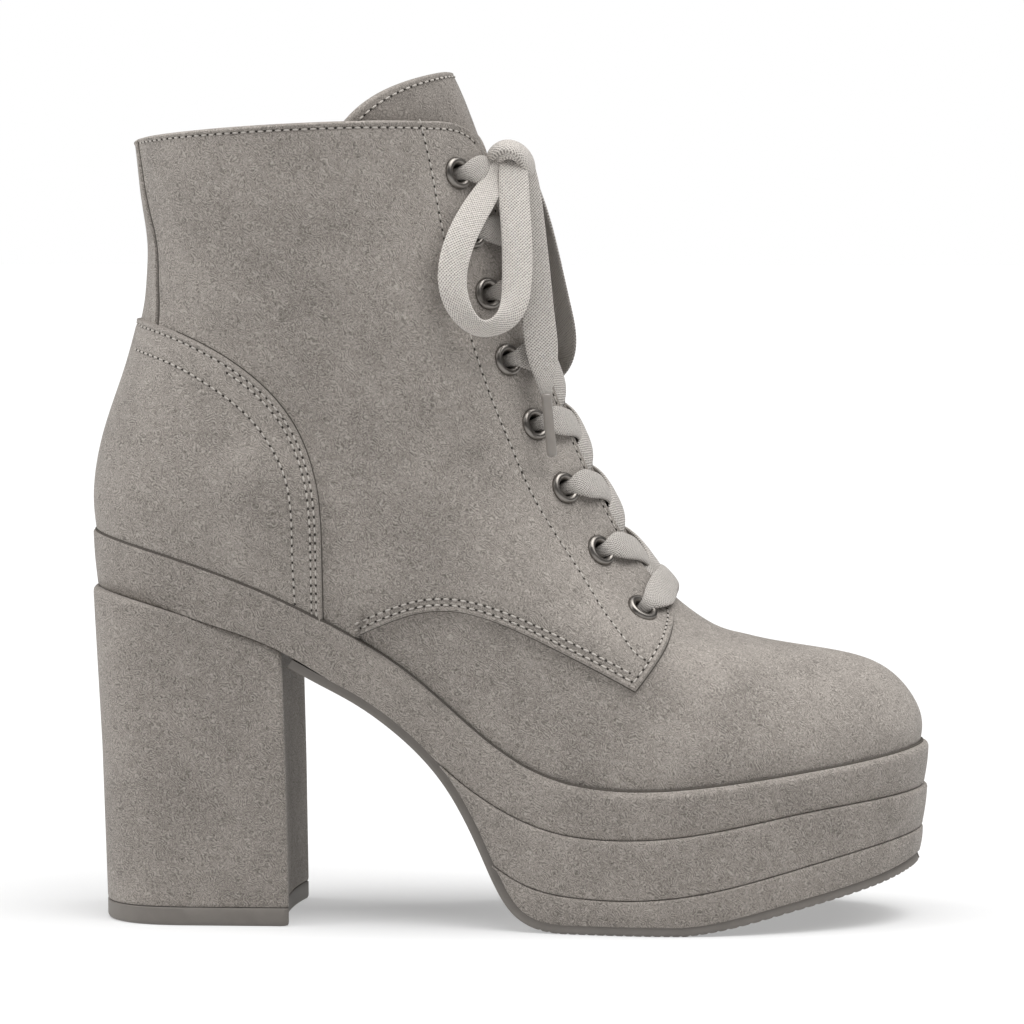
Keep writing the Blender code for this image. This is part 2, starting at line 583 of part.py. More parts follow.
def band(stops, heights, start, end, count):
    """Strip laid over the upper from stop to stop, at heights given by shares of its length."""
    line = np.concatenate([np.linspace(a, b, 30) for a, b in zip(stops[:-1], stops[1:])])
    length = np.sum(np.linalg.norm(np.diff(bare_point(line[:, 0], line[:, 1]), axis=0), axis=1))
    line = along(line, np.linspace(start / length, 1 - end / length, count))
    rise = np.interp(np.linspace(0, 1, count), *zip(*heights))
    out = last_normal(line[:, 0], line[:, 1])
    return strip("band", last_point(line[:, 0], line[:, 1], rise), out, LACE_WIDTH)


def joined(name, pieces):
    """The pieces as one object."""
    bpy.ops.object.select_all(action="DESELECT")
    for piece in pieces:
        piece.select_set(True)
    bpy.context.view_layer.objects.active = pieces[0]
    bpy.ops.object.join()
    pieces[0].name = name
    pieces[0].data.name = name
    return pieces[0]


def across_throat(spot):
    """The same spot on the inner side, counted on round the front."""
    return np.array((spot[0], 2 * math.pi - spot[1]))


BESIDE_RIM = EYELET_RIM + 0.9
BAND_DROP = 0.27   # levels that a band ends below the next eyelet
LOWEST_END = 6.56   # level where the lowest bands end
over_facing = facing_top + 0.45
first, last = eyelet_spots[0], eyelet_spots[-1]
bars = [band((last, (6.3, math.pi), across_throat(last)), ((0, over_facing), (1, over_facing)),
             BESIDE_RIM, BESIDE_RIM, 13),
        band((first, (first[0] + 0.08, math.pi), across_throat(first)),
             ((0, over_facing), (0.28, over_facing), (0.5, 0.9), (0.72, over_facing), (1, over_facing)),
             BESIDE_RIM, BESIDE_RIM, 13)]
crossings = joined("lace_crossings", bars)
for side_name, middle_height in (("lateral", 1.5), ("medial", 2.6)):
    bands = []
    for (level, angle), (below, _) in zip(eyelet_spots[:-1], eyelet_spots[1:]):
        below = max(below - BAND_DROP, LOWEST_END)
        far = np.array((below, 2 * math.pi - throat_angle(below)))
        stops = [np.array((level, angle)), far]
        heights = ((0, over_facing), (0.43, over_facing), (0.66, middle_height), (1, 2.0))
        start = BESIDE_RIM
        if level == first[0]:
            start = 21.4
            stops[0] = stops[0] + (0.34, 0.0)
            heights = ((0, over_facing + 0.1), (0.5, middle_height), (1, 2.0))
        if side_name == "medial":
            stops = [across_throat(stop) for stop in stops]
        bands.append(band(stops, heights, start, 4.6, 9))
    bands = joined(f"bands_{side_name}", bands)
    bands.hide_render = True
    bands.display_type = "WIRE"
    for other in list(bands.users_collection):
        other.objects.unlink(bands)
    cutters.objects.link(bands)
    cut(crossings, bands, "UNION")
finish(crossings, "lace")

# The bow in front of the collar's corner, hanging free. x, y and z along each strip, and its width.
LOOP_LATERAL = np.array((
    (-4.2, -15.4, 214.6, 6.6), (-7.5, -24.0, 205.8, 8.0), (-12.1, -33.0, 195.5, 8.4), (-14.3, -37.5, 184.0, 8.4),
    (-13.0, -38.4, 176.6, 8.0), (-6.6, -36.6, 168.8, 7.4), (0.6, -32.4, 171.4, 8.0), (3.0, -28.0, 181.2, 8.6),
    (2.7, -23.0, 195.5, 8.6), (1.6, -18.4, 207.5, 8.2), (1.4, -17.0, 211.0, 8.0)))
LOOP_MEDIAL = np.array((
    (6.4, 0.0, 210.4, 6.6), (9.3, 4.0, 200.5, 8.4), (12.2, 10.0, 187.0, 8.6), (14.6, 16.0, 172.0, 8.6),
    (12.8, 26.0, 162.0, 8.0), (4.0, 34.5, 158.6, 7.4), (-5.0, 37.0, 166.0, 8.0), (-9.0, 35.0, 180.0, 8.4),
    (-8.0, 28.0, 195.0, 8.4), (-5.6, 20.0, 206.0, 8.0), (-3.8, 13.6, 212.0, 6.6)))
END_LATERAL = np.array((
    (5.4, -13.2, 211.0, 7.6), (6.8, -15.0, 200.5, 8.6), (9.2, -17.6, 185.0, 8.6), (10.8, -20.4, 171.0, 8.6),
    (11.3, -23.4, 160.0, 7.6), (11.2, -26.0, 150.4, 3.6)))
END_MEDIAL = np.array((
    (2.6, 5.0, 209.6, 6.6), (4.0, 14.0, 198.0, 8.4), (4.6, 20.0, 184.0, 8.6), (5.6, 23.6, 170.0, 8.6),
    (7.2, 25.8, 160.0, 7.6), (8.0, 27.4, 152.4, 3.6)))
AGLET = 17.5      # length of the plastic tip
AGLET_RADIUS = 1.45


def free_strip(name, table, out, count):
    """Strip of lace hanging free, its face turned one way."""
    run = np.concatenate(([0.0], np.cumsum(np.linalg.norm(np.diff(table[:, :3], axis=0), axis=1))))
    row = spline(run, table)(np.linspace(0, run[-1], count))
    out = np.broadcast_to(np.array(out) / np.linalg.norm(out), (count, 3))
    obj = strip(name, row[:, :3], out, row[:, 3])
    finish(obj, "lace")


free_strip("lace_loop_lateral", LOOP_LATERAL, (0.30, -0.95, 0.0), 25)
free_strip("lace_loop_medial", LOOP_MEDIAL, (0.45, 0.90, 0.0), 25)
free_strip("lace_end_lateral", END_LATERAL, (0.40, -0.92, 0.0), 11)
free_strip("lace_end_medial", END_MEDIAL, (0.45, 0.90, 0.0), 11)
for side_name, table, out in (("lateral", END_LATERAL, (0.40, -0.92, 0.0)), ("medial", END_MEDIAL, (0.45, 0.90, 0.0))):
    tip = Vector(table[-1, :3] + np.array(out) * LACE_THICK / 2)
    down = (tip - Vector(table[-2, :3])).normalized()
    down = Vector((0.1, down.y * 0.3, -1.0)).normalized()
    bpy.ops.mesh.primitive_cylinder_add(vertices=10, radius=AGLET_RADIUS * MM, depth=AGLET * MM,
                                        location=(tip + down * (AGLET / 2 + 0.6)) * MM,
                                        rotation=down.to_track_quat("Z", "Y").to_euler())
    bpy.context.object.name = f"aglet_{side_name}"
    finish(bpy.context.object, "aglet")
bpy.ops.mesh.primitive_uv_sphere_add(segments=14, ring_count=8, radius=1.0, location=(0.0016, -0.0078, 0.2168),
                                     scale=(0.0052, 0.0056, 0.0046))
bpy.context.object.name = "lace_knot"
finish(bpy.context.object, "lace")
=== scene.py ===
"""Suede lace-up platform ankle boot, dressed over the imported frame.

Sizes are in millimetres until a mesh is made. +X runs to the toe, +Y to the inner
side and +Z up. A level climbs from the feather line (0) to the collar (10) and past
it to the tongue's tip, and an angle runs round the boot from the back seam (0) over
the outer side to the front (pi).
"""
import math

import bpy
import numpy as np
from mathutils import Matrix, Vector
from mathutils.kdtree import KDTree


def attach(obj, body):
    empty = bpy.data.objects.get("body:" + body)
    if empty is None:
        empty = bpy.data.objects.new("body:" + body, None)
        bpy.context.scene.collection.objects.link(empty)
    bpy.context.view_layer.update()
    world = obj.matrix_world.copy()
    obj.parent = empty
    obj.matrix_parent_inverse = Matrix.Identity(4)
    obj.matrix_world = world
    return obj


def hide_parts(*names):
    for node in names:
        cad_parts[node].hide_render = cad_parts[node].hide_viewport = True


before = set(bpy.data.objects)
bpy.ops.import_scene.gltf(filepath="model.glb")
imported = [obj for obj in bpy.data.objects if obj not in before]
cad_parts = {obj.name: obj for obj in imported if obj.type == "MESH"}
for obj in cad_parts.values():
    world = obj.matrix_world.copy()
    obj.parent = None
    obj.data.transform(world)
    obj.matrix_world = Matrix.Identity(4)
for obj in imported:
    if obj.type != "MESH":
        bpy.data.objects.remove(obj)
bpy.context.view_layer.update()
MM = 0.001

# Driving sizes, and levels and angles of the upper's main lines.
QUARTER_LIFT = 1.5        # outer face of the quarters over the vamp
COUNTER_LIFT = 2.9        # outer face of the counter
STRIP_LIFT = 1.9          # outer face of the strip up the back
RIM_HEIGHT = 0.12         # height of a panel's turned edge over the vamp
SUEDE = 1.1               # thickness of the vamp's suede
QUARTER_SUEDE = 0.9       # thickness of the quarters
COVER_SUEDE = 1.2         # thickness of the counter and of the strip
LINED = 2.2               # depth of the lining's inner face
OUTSOLE = 2.6             # thickness of the outsole
TOP_PIECE = 5.2           # height of the rubber under the heel
LACE_WIDTH = 8.6
LACE_THICK = 1.5
EYELET_HOLE = 2.5         # radius inside an eyelet's ring
EYELET_RIM = 4.7          # radius of the ring's rim
PUNCH_RADIUS = 2.6        # radius of the hole cut for an eyelet
STITCH_PITCH = 2.45
STITCH_SINK = 0.12        # how far the stitches sink into a panel
FLAT_SPOT = (16.0, 50.0)  # x of the forefoot's flat contact with the floor
THROAT_HALF = 8.2         # half the gap between the facings
THROAT_LEVEL = 6.15       # foot of the throat
THROAT_ROUND = 0.35       # levels over which the throat's foot opens
FOOT_LEVEL = -0.28        # lower edge of the upper, inside the rand
TONGUE_FOOT = 5.6         # lower edge of the tongue
FALL_LEVEL = 8.0          # where the upper's rows start to follow the collar
COLLAR_LEVEL = 10.0
COLLAR_ARCH = 0.095       # rise of the collar between back and front
TIP_LEVEL = 11.0          # tip of the tongue
CORNER_START = 2.40       # angle where the collar starts to round down
CORNER_DROP = 0.32        # levels that the collar's corner falls by

# Sections of the last. Each row is one line round the boot, given by its back and
# front points in the side view, by the share of the sole's own sag that it keeps,
# and by the half width that an ellipse would have at six places along it.
#   level  back_x  back_z  front_x front_z  sag   back  heel  waist ball  toe   front
SECTIONS = np.array((
    (0.0, -116.4, 110.2, 117.0,  50.3, 1.00, 55.0, 42.3, 29.4, 45.0, 53.4, 62.0),
    (1.0, -117.4, 120.0, 117.2,  58.0, 0.93, 56.0, 45.4, 31.8, 46.0, 52.0, 59.0),
    (2.0, -116.5, 130.0, 111.8,  67.4, 0.82, 56.0, 46.9, 33.6, 44.2, 46.0, 50.0),
    (3.0, -114.4, 139.0, 101.0,  74.4, 0.68, 54.0, 46.0, 34.2, 42.0, 37.0, 38.0),
    (4.0, -111.6, 147.5,  84.0,  77.6, 0.52, 51.0, 44.8, 34.0, 40.4, 31.0, 30.0),
    (5.0, -108.8, 155.5,  66.0,  80.8, 0.36, 47.5, 43.2, 33.8, 39.6, 31.0, 27.5),
    (6.0, -106.3, 164.0,  49.5,  89.6, 0.22, 43.0, 41.5, 33.8, 38.6, 32.0, 28.0),
    (7.0, -104.2, 174.0,  33.0, 109.4, 0.10, 38.8, 39.8, 34.2, 37.4, 33.0, 30.5),
    (8.0, -103.1, 187.0,  14.5, 147.0, 0.03, 36.2, 38.2, 35.2, 36.8, 34.5, 33.8),
    (9.0, -103.9, 202.5,   0.4, 189.0, 0.00, 36.0, 37.4, 36.2, 36.8, 36.0, 35.5),
    (10.0, -106.0, 221.5, -10.4, 227.8, 0.00, 36.6, 37.0, 37.0, 37.2, 36.5, 35.8),
    (11.0, -107.6, 235.0, -13.6, 242.2, 0.00, 36.6, 37.0, 37.0, 37.2, 36.0, 35.0),
))
STATION_SHARES = np.array((0.0, 0.12, 0.42, 0.70, 0.92, 1.0))

# Side view of the sole: x and z of the feather line, of the two lines between the
# platform's layers and of the outsole's lower face, heel to toe.
FEATHER = np.array((
    (-120.0, 110.8), (-94.0, 104.0), (-68.0, 94.7), (-45.0, 83.4), (-25.0, 70.4),
    (-8.0, 56.0), (8.0, 45.6), (24.0, 41.2), (42.0, 40.6), (60.0, 42.1),
    (85.0, 45.3), (105.0, 48.2), (120.0, 50.8),
))
RAND_FOOT = np.array((
    (-121.0, 95.4), (-101.0, 91.0), (-84.0, 86.0), (-66.0, 79.6), (-45.5, 67.6),
    (-27.2, 54.8), (-16.7, 45.4), (-4.0, 36.2), (12.0, 29.2), (30.0, 27.0),
    (51.5, 28.3), (83.0, 33.9), (105.0, 36.8), (120.0, 38.6),
))
MIDDLE_FOOT = np.array((
    (-8.0, 22.5), (4.0, 14.4), (19.6, 10.6), (38.0, 10.2), (54.0, 11.9),
    (83.0, 18.6), (104.0, 23.6), (120.0, 27.0),
))
OUTSOLE_FACE = np.array((
    (-61.6, 73.6), (-54.0, 69.4), (-43.5, 63.8), (-33.5, 57.0), (-25.0, 49.6),
    (-17.6, 41.0), (-11.8, 31.5), (-7.0, 21.6), (-2.2, 11.4), (3.2, 4.2), (9.0, 1.1),
    (16.0, 0.0), (33.0, 0.0), (50.0, 0.0), (62.0, 1.7), (80.0, 6.0), (98.0, 10.4),
    (110.0, 13.9), (117.0, 16.6),
))
# How far the heel-to-toe line of the foot swings to the inner side, by x.
SWING = np.array(((-120.0, 0.2), (-60.0, -0.8), (-15.0, -2.2), (40.0, -1.0), (85.0, 3.0), (120.0, 6.0)))
# How far the rand stands out past the vamp, and the panels over the vamp at the feather line, by x.
RAND_EDGE = np.array(((-121.0, 4.0), (-60.0, 3.6), (-20.0, 2.8), (30.0, 2.5), (120.0, 2.4)))
PANEL_FOOT = np.array(((-52.0, 3.0), (-50.0, 1.9), (-43.0, 1.7), (-40.0, 0.35)))

# The heel from its seat to the floor: share of the height, back x, breast x, half width.
HEEL = np.array(((0.0, -116.2, -61.6, 28.4), (0.5, -117.6, -62.2, 29.2), (1.0, -119.9, -63.2, 30.6)))
BREAST_HOLLOW = 2.4
HEEL_CORNER = 1.4

# Side view of the edges laid over the upper on the outer side, x and z.
COUNTER_FRONT = np.array(((-51.0, 87.0), (-51.0, 100.0), (-51.2, 112.4), (-52.4, 124.0)))
COUNTER_TOP = np.array(((-106.5, 171.2), (-95.0, 168.2), (-84.3, 163.7), (-74.4, 157.9),
                        (-64.7, 149.6), (-58.2, 140.6), (-54.6, 132.6), (-52.4, 124.0)))
SEAM = np.array(((-42.3, 82.6), (-32.4, 87.0), (-22.5, 90.0), (-14.0, 90.4), (-6.0, 88.9),
                 (4.0, 85.2), (17.0, 79.0), (27.0, 73.9), (36.8, 68.6)))
TAB = np.array(((36.8, 68.6), (42.6, 76.4), (45.9, 82.6), (46.4, 87.6), (44.8, 92.4)))
EYELETS = np.array(((-14.9, 212.2), (-10.9, 195.6), (-6.3, 178.4), (-0.8, 159.8),
                    (6.7, 141.6), (15.3, 123.6), (25.4, 105.8), (37.4, 89.4)))
# Half the strip up the back seam as an angle, by level.
STRIP_HALF = np.array(((6.0, 0.42), (6.8, 0.40), (8.7, 0.355), (10.0, 0.27)))
# Stitch rows away from the edges: along the eyelet facing, and inside the counter.
EYESTAY_ROW = np.array(((-25.0, 227.2), (-21.7, 213.3), (-18.9, 198.4), (-10.6, 166.4), (-5.3, 150.0),
                        (1.0, 135.2), (7.3, 121.5), (13.6, 110.7), (21.6, 98.2), (28.5, 87.9),
                        (33.8, 81.6), (36.4, 78.6), (39.6, 76.6)))
COUNTER_ROW = np.array(((-105.7, 162.3), (-91.3, 157.7), (-81.0, 151.8), (-72.5, 145.1), (-64.7, 134.8),
                        (-60.7, 125.2), (-59.4, 115.6), (-59.1, 102.7), (-58.6, 91.1)))

# Worn troughs and ridges of the upper: x, z, half length, half width, slope in degrees, height.
FOLDS = np.array((
    (-82.0, 187.0, 20.0, 9.0, -18.0, -2.0), (-74.0, 203.0, 24.0, 7.0, -10.0, 0.7),
    (-78.0, 166.0, 20.0, 7.0, -25.0, -2.2), (-54.0, 143.0, 30.0, 11.0, -36.0, -3.3),
    (-60.0, 122.0, 24.0, 10.0, -28.0, 2.1), (-52.0, 168.0, 26.0, 7.0, -30.0, -0.8),
    (-18.0, 134.0, 24.0, 8.0, -38.0, -1.9), (-10.0, 154.0, 22.0, 8.0, -50.0, 0.7),
    (-30.0, 108.0, 20.0, 7.0, -20.0, -0.5), (8.0, 100.0, 18.0, 5.5, -48.0, -0.5),
    (52.0, 72.0, 12.0, 4.5, 62.0, -0.5), (62.0, 70.0, 14.0, 5.0, 68.0, 0.4),
    (40.0, 58.0, 16.0, 5.0, 40.0, -0.35), (84.0, 62.0, 14.0, 9.0, 20.0, 0.3),
))


def unit(vectors):
    """Vectors of the same headings, each one long."""
    return vectors / np.linalg.norm(vectors, axis=-1, keepdims=True)


def run_along(points):
    """Distance along a line from its first point to each of its points."""
    return np.concatenate(([0.0], np.cumsum(np.linalg.norm(np.diff(points, axis=0), axis=1))))


def read_at(at, run, table):
    """Rows of a table read at distances along it."""
    return np.stack([np.interp(at, run, column) for column in table.T], axis=-1)


def spline(knots, values, flat_ends=False):
    """Cubic spline through values at the knots, with free or flat ends."""
    knots = np.asarray(knots, float)
    values = np.asarray(values, float).reshape(len(knots), -1)
    step = np.diff(knots)
    rise = np.diff(values, axis=0) / step[:, None]
    count = len(knots)
    matrix = np.zeros((count, count))
    right = np.zeros_like(values)
    for i in range(1, count - 1):
        matrix[i, i - 1:i + 2] = 1 / step[i - 1], 2 / step[i - 1] + 2 / step[i], 1 / step[i]
        right[i] = 3 * (rise[i - 1] / step[i - 1] + rise[i] / step[i])
    if flat_ends:
        matrix[0, 0] = matrix[-1, -1] = 1.0
    else:
        matrix[0, :2] = 2.0, 1.0
        matrix[-1, -2:] = 1.0, 2.0
        right[0] = 3 * rise[0]
        right[-1] = 3 * rise[-1]
    slope = np.linalg.solve(matrix, right)

    def read(at):
        at = np.asarray(at, float)
        i = np.clip(np.searchsorted(knots, at) - 1, 0, count - 2)
        h = step[i][..., None]
        t = (at - knots[i])[..., None] / h
        a = values[i] * (1 + 2 * t) * (1 - t) ** 2 + values[i + 1] * t * t * (3 - 2 * t)
        return a + h * (slope[i] * t * (1 - t) ** 2 + slope[i + 1] * t * t * (t - 1))

    return read


def curve(table):
    """The table's second column as a smooth function of its first."""
    read = spline(table[:, 0], table[:, 1])
    return lambda at: read(at)[..., 0]


section_at = spline(SECTIONS[:, 0], SECTIONS[:, 1:])
width_share = spline(np.arccos(1 - 2 * STATION_SHARES), np.eye(6), flat_ends=True)
feather = curve(FEATHER)
rand_foot = curve(RAND_FOOT)
middle_foot = curve(MIDDLE_FOOT)
swing = curve(SWING)
rand_edge = curve(RAND_EDGE)


def side_view(level, share):
    """x and z of the line at a level, share 0 at the back and 1 at the front."""
    row = section_at(level)
    back_x, back_z, front_x, front_z, sag = (row[..., i] for i in range(5))
    first = SECTIONS[0]
    sole_x = first[1] + (first[3] - first[1]) * share
    sole_sag = feather(sole_x) - (first[2] + (first[4] - first[2]) * share)
    x = back_x + (front_x - back_x) * share
    return x, back_z + (front_z - back_z) * share + sag * sole_sag


def bare_point(level, angle):
    """Point on the upper's outer surface, without any offset."""
    level, angle = np.broadcast_arrays(np.asarray(level, float), np.asarray(angle, float))
    x, z = side_view(level, (1 - np.cos(angle)) / 2)
    turn = np.abs((angle + math.pi) % (2 * math.pi) - math.pi)
    half = np.sum(width_share(turn) * section_at(level)[..., 5:], axis=-1)
    fade = np.clip(1 - level / COLLAR_LEVEL, 0, 1)
    return np.stack((x, swing(x) * fade - half * np.sin(angle), z), axis=-1)


def last_normal(level, angle):
    """Outward normal of the upper's surface."""
    level, angle = np.broadcast_arrays(np.asarray(level, float), np.asarray(angle, float))
    up = bare_point(level + 0.01, angle) - bare_point(level - 0.01, angle)
    round_boot = bare_point(level, angle + 0.005) - bare_point(level, angle - 0.005)
    return unit(np.cross(round_boot, up))


def last_point(level, angle, offset=0.0):
    """Point at a distance outside the upper's surface."""
    offset = np.asarray(offset, float)[..., None]
    return bare_point(level, angle) + last_normal(level, angle) * offset


def locate(x, z):
    """Level and angle of the outer side's point that shows at x and z in the side view."""
    x, z = np.broadcast_arrays(np.asarray(x, float), np.asarray(z, float))
    low = np.zeros_like(x)
    high = np.full_like(x, TIP_LEVEL)
    for _ in range(40):
        level = (low + high) / 2
        row = section_at(level)
        share = np.clip((x - row[..., 0]) / (row[..., 2] - row[..., 0]), 0, 1)
        under = side_view(level, share)[1] < z
        low = np.where(under, level, low)
        high = np.where(under, high, level)
    return np.stack((level, np.arccos(1 - 2 * share)), axis=-1)


def throat_angle(level):
    """Angle of the facing's edge; the front line itself below the throat."""
    level = np.asarray(level, float)
    opening = np.clip((level - THROAT_LEVEL) / THROAT_ROUND, 0, 1)
    half_gap = THROAT_HALF * np.sqrt(1 - (1 - opening) ** 2)
    return math.pi - np.arcsin(half_gap / section_at(level)[..., 10])


def collar_level(angle):
    """Level of the collar's edge, which rounds down into the facing at the front."""
    share = np.clip((np.abs(angle) - CORNER_START) / (throat_angle(COLLAR_LEVEL) - CORNER_START), 0, 1)
    arch = COLLAR_ARCH * np.sin(np.clip(0.12 + 0.88 * np.abs(angle) / CORNER_START, 0, 1) * math.pi) ** 0.9
    return COLLAR_LEVEL + arch - CORNER_DROP * (1 - np.sqrt(1 - share ** 2))


def collar_fall(level, angle):
    """How far the upper's rows come down to follow the collar's edge."""
    near_top = np.clip((level - FALL_LEVEL) / (COLLAR_LEVEL - FALL_LEVEL), 0, 1)
    return near_top * (COLLAR_LEVEL - collar_level(angle))


def strip_half(level):
    """Half the strip up the back seam, as an angle."""
    return np.interp(level, *STRIP_HALF.T)


def panel_foot(x):
    """How far the panels stand out past the vamp at the feather line."""
    return np.interp(x, *PANEL_FOOT.T)


def along(points, shares):
    """Points at shares of the length of a line of level and angle pairs."""
    run = run_along(bare_point(points[:, 0], points[:, 1]))
    return read_at(shares * run[-1], run, points)


def smooth_line(table, count=40, aside=0.0):
    """Side-view line through a table's points, moved to its left by a distance."""
    run = run_along(table)
    read = spline(run, table)
    at = np.linspace(0, run[-1], count)
    heading = unit(read(at + 0.1) - read(at - 0.1))
    return read(at) + aside * np.stack((-heading[:, 1], heading[:, 0]), axis=-1)


def patch(bottom, top, rear, front, across, upward):
    """Grid of level and angle inside four edges, rear to front and bottom to top."""
    bottom, top = along(bottom, across), along(top, across)
    rear, front = along(rear, upward), along(front, upward)
    u = across[None, :, None]
    v = upward[:, None, None]
    grid = (1 - v) * bottom[None] + v * top[None] + (1 - u) * rear[:, None] + u * front[:, None]
    corners = (1 - u) * (1 - v) * bottom[0] + u * (1 - v) * bottom[-1]
    return grid - corners - (1 - u) * v * top[0] - u * v * top[-1]


def edge_steps(count):
    """Shares from 0 to 1, close together at both ends where a panel's edge turns down."""
    tight = np.array((0.0, 0.0015, 0.0035, 0.006, 0.009, 0.013))
    return np.concatenate((tight, np.linspace(0.018, 0.982, count), 1 - tight[::-1]))


def fold_height(x, z):
    """Height of the worn troughs and ridges at a place in the side view."""
    total = np.zeros(np.broadcast(x, z).shape)
    for fold_x, fold_z, length, width, slope, height in FOLDS:
        c, s = math.cos(math.radians(slope)), math.sin(math.radians(slope))
        u = ((x - fold_x) * c + (z - fold_z) * s) / length
        v = ((z - fold_z) * c - (x - fold_x) * s) / width
        total += height * np.exp(-u * u - v * v)
    return total


def skin(level, angle, lift=0.0):
    """Point on the worn suede, at a lift over the vamp."""
    place = bare_point(level, angle)
    rise = np.asarray(lift, float) + fold_height(place[..., 0], place[..., 2])
    return place + last_normal(level, angle) * rise[..., None]


def nearest(points, lines):
    """Distance from each place of a grid to the nearest of several lines."""
    places = points.reshape(-1, 3)
    away = np.full(len(places), np.inf)
    for line in lines:
        tree = KDTree(len(line))
        for number, place in enumerate(line):
            tree.insert(place, number)
        tree.balance()
        near = np.array([tree.find(place)[1] for place in places])
        for start in (np.maximum(near - 1, 0), np.minimum(near, len(line) - 2)):
            ahead = line[start + 1] - line[start]
            share = np.sum((places - line[start]) * ahead, axis=1)
            share /= np.maximum(np.sum(ahead ** 2, axis=1), 1e-12)
            foot = line[start] + np.clip(share, 0, 1)[:, None] * ahead
            away = np.minimum(away, np.linalg.norm(places - foot, axis=1))
    return away.reshape(points.shape[:2])


def rolled(distance, radius):
    """Share of a panel's height at a distance from its turned edge."""
    return np.sqrt(np.clip(1 - (1 - np.clip(distance / radius, 0, 1)) ** 2, 0, 1))


# Camera at the photograph's angle, tilted down a little. Its distances are in metres.
CAMERA_YAW = math.radians(3.5)
CAMERA_DISTANCE = 1.35
CAMERA_HEIGHT = 0.203
AIM_HEIGHT = 0.1159
camera_data = bpy.data.cameras.new("camera")
camera_data.sensor_width = 36.0
camera_data.lens = 166.1
camera_data.clip_end = 20.0
camera = bpy.data.objects.new("camera", camera_data)
bpy.context.scene.collection.objects.link(camera)
camera.location = (CAMERA_DISTANCE * math.sin(CAMERA_YAW), -CAMERA_DISTANCE * math.cos(CAMERA_YAW), CAMERA_HEIGHT)
aim = Vector((0.0, 0.0, AIM_HEIGHT)) - camera.location
camera.rotation_euler = aim.to_track_quat("-Z", "Y").to_euler()
bpy.context.scene.camera = camera
bpy.context.scene.view_settings.view_transform = "Standard"

# Soft studio light: pale surroundings, a broad box on either side and one overhead.
world = bpy.data.worlds.new("white_room")
bpy.context.scene.world = world
world.use_nodes = True
room = world.node_tree
room.nodes["Background"].inputs["Color"].default_value = (1.0, 1.0, 1.0, 1.0)
room.nodes["Background"].inputs["Strength"].default_value = 0.1
seen = room.nodes.new("ShaderNodeBackground")
seen.inputs["Color"].default_value = (1.0, 1.0, 1.0, 1.0)
seen.inputs["Strength"].default_value = 1.0
ray = room.nodes.new("ShaderNodeLightPath")
either = room.nodes.new("ShaderNodeMixShader")
room.links.new(ray.outputs["Is Camera Ray"], either.inputs["Fac"])
room.links.new(room.nodes["Background"].outputs[0], either.inputs[1])
room.links.new(seen.outputs[0], either.inputs[2])
room.links.new(either.outputs[0], room.nodes["World Output"].inputs["Surface"])


def soft_light(name, direction, strength, spread):
    """Broad even light that falls along a direction."""
    data = bpy.data.lights.new(name, "SUN")
    data.energy = strength
    data.angle = math.radians(spread)
    lamp = bpy.data.objects.new(name, data)
    lamp.rotation_euler = Vector(direction).to_track_quat("-Z", "Y").to_euler()
    bpy.context.scene.collection.objects.link(lamp)


soft_light("left_box", (0.9, 0.1, -0.55), 1.75, 55)
soft_light("right_box", (-0.55, 0.15, -1.0), 1.8, 55)
soft_light("overhead", (-0.06, 0.16, -1.0), 2.6, 56)


def add(tree, kind, **settings):
    """New node in a tree, with its settings and plain inputs given by name."""
    node = tree.nodes.new(kind)
    for label, value in settings.items():
        if hasattr(node, label):
            setattr(node, label, value)
        else:
            node.inputs[label.replace("_", " ")].default_value = value
    return node


def calculate(tree, operation, first, second=0.0, third=None):
    """Output of a Math node on sockets or numbers."""
    node = add(tree, "ShaderNodeMath", operation=operation)
    for socket, value in zip(node.inputs, (first, second, third)):
        if value is None:
            continue
        if hasattr(value, "links"):
            tree.links.new(value, socket)
        else:
            socket.default_value = value
    return node.outputs[0]


def cloud(tree, place, size, detail=2.0, roughness=0.5, distortion=0.0):
    """Noise whose marks are about a size in millimetres."""
    node = add(tree, "ShaderNodeTexNoise", Scale=1.0 / size, Detail=detail, Roughness=roughness,
               Distortion=distortion)
    tree.links.new(place, node.inputs["Vector"])
    return node.outputs[0]


def in_millimetres(tree, socket="Object"):
    """The piece's own coordinates, counted in millimetres."""
    mapping = add(tree, "ShaderNodeMapping", Scale=(1000.0, 1000.0, 1000.0))
    tree.links.new(add(tree, "ShaderNodeTexCoord").outputs[socket], mapping.inputs["Vector"])
    return mapping.outputs[0]


def blend_colours(tree, share, first, second):
    """Colour between two colours by a share."""
    node = add(tree, "ShaderNodeMix", data_type="RGBA")
    tree.links.new(share, node.inputs[0])
    for socket, value in ((node.inputs[6], first), (node.inputs[7], second)):
        if hasattr(value, "links"):
            tree.links.new(value, socket)
        else:
            socket.default_value = value
    return node.outputs[2]


def effect(name, inputs, outputs):
    """Empty shader group with named sockets."""
    group = bpy.data.node_groups.new(name, "ShaderNodeTree")
    for label, kind, value in inputs:
        group.interface.new_socket(label, in_out="INPUT", socket_type=kind).default_value = value
    for label, kind in outputs:
        group.interface.new_socket(label, in_out="OUTPUT", socket_type=kind)
    return group, group.nodes.new("NodeGroupInput"), group.nodes.new("NodeGroupOutput")


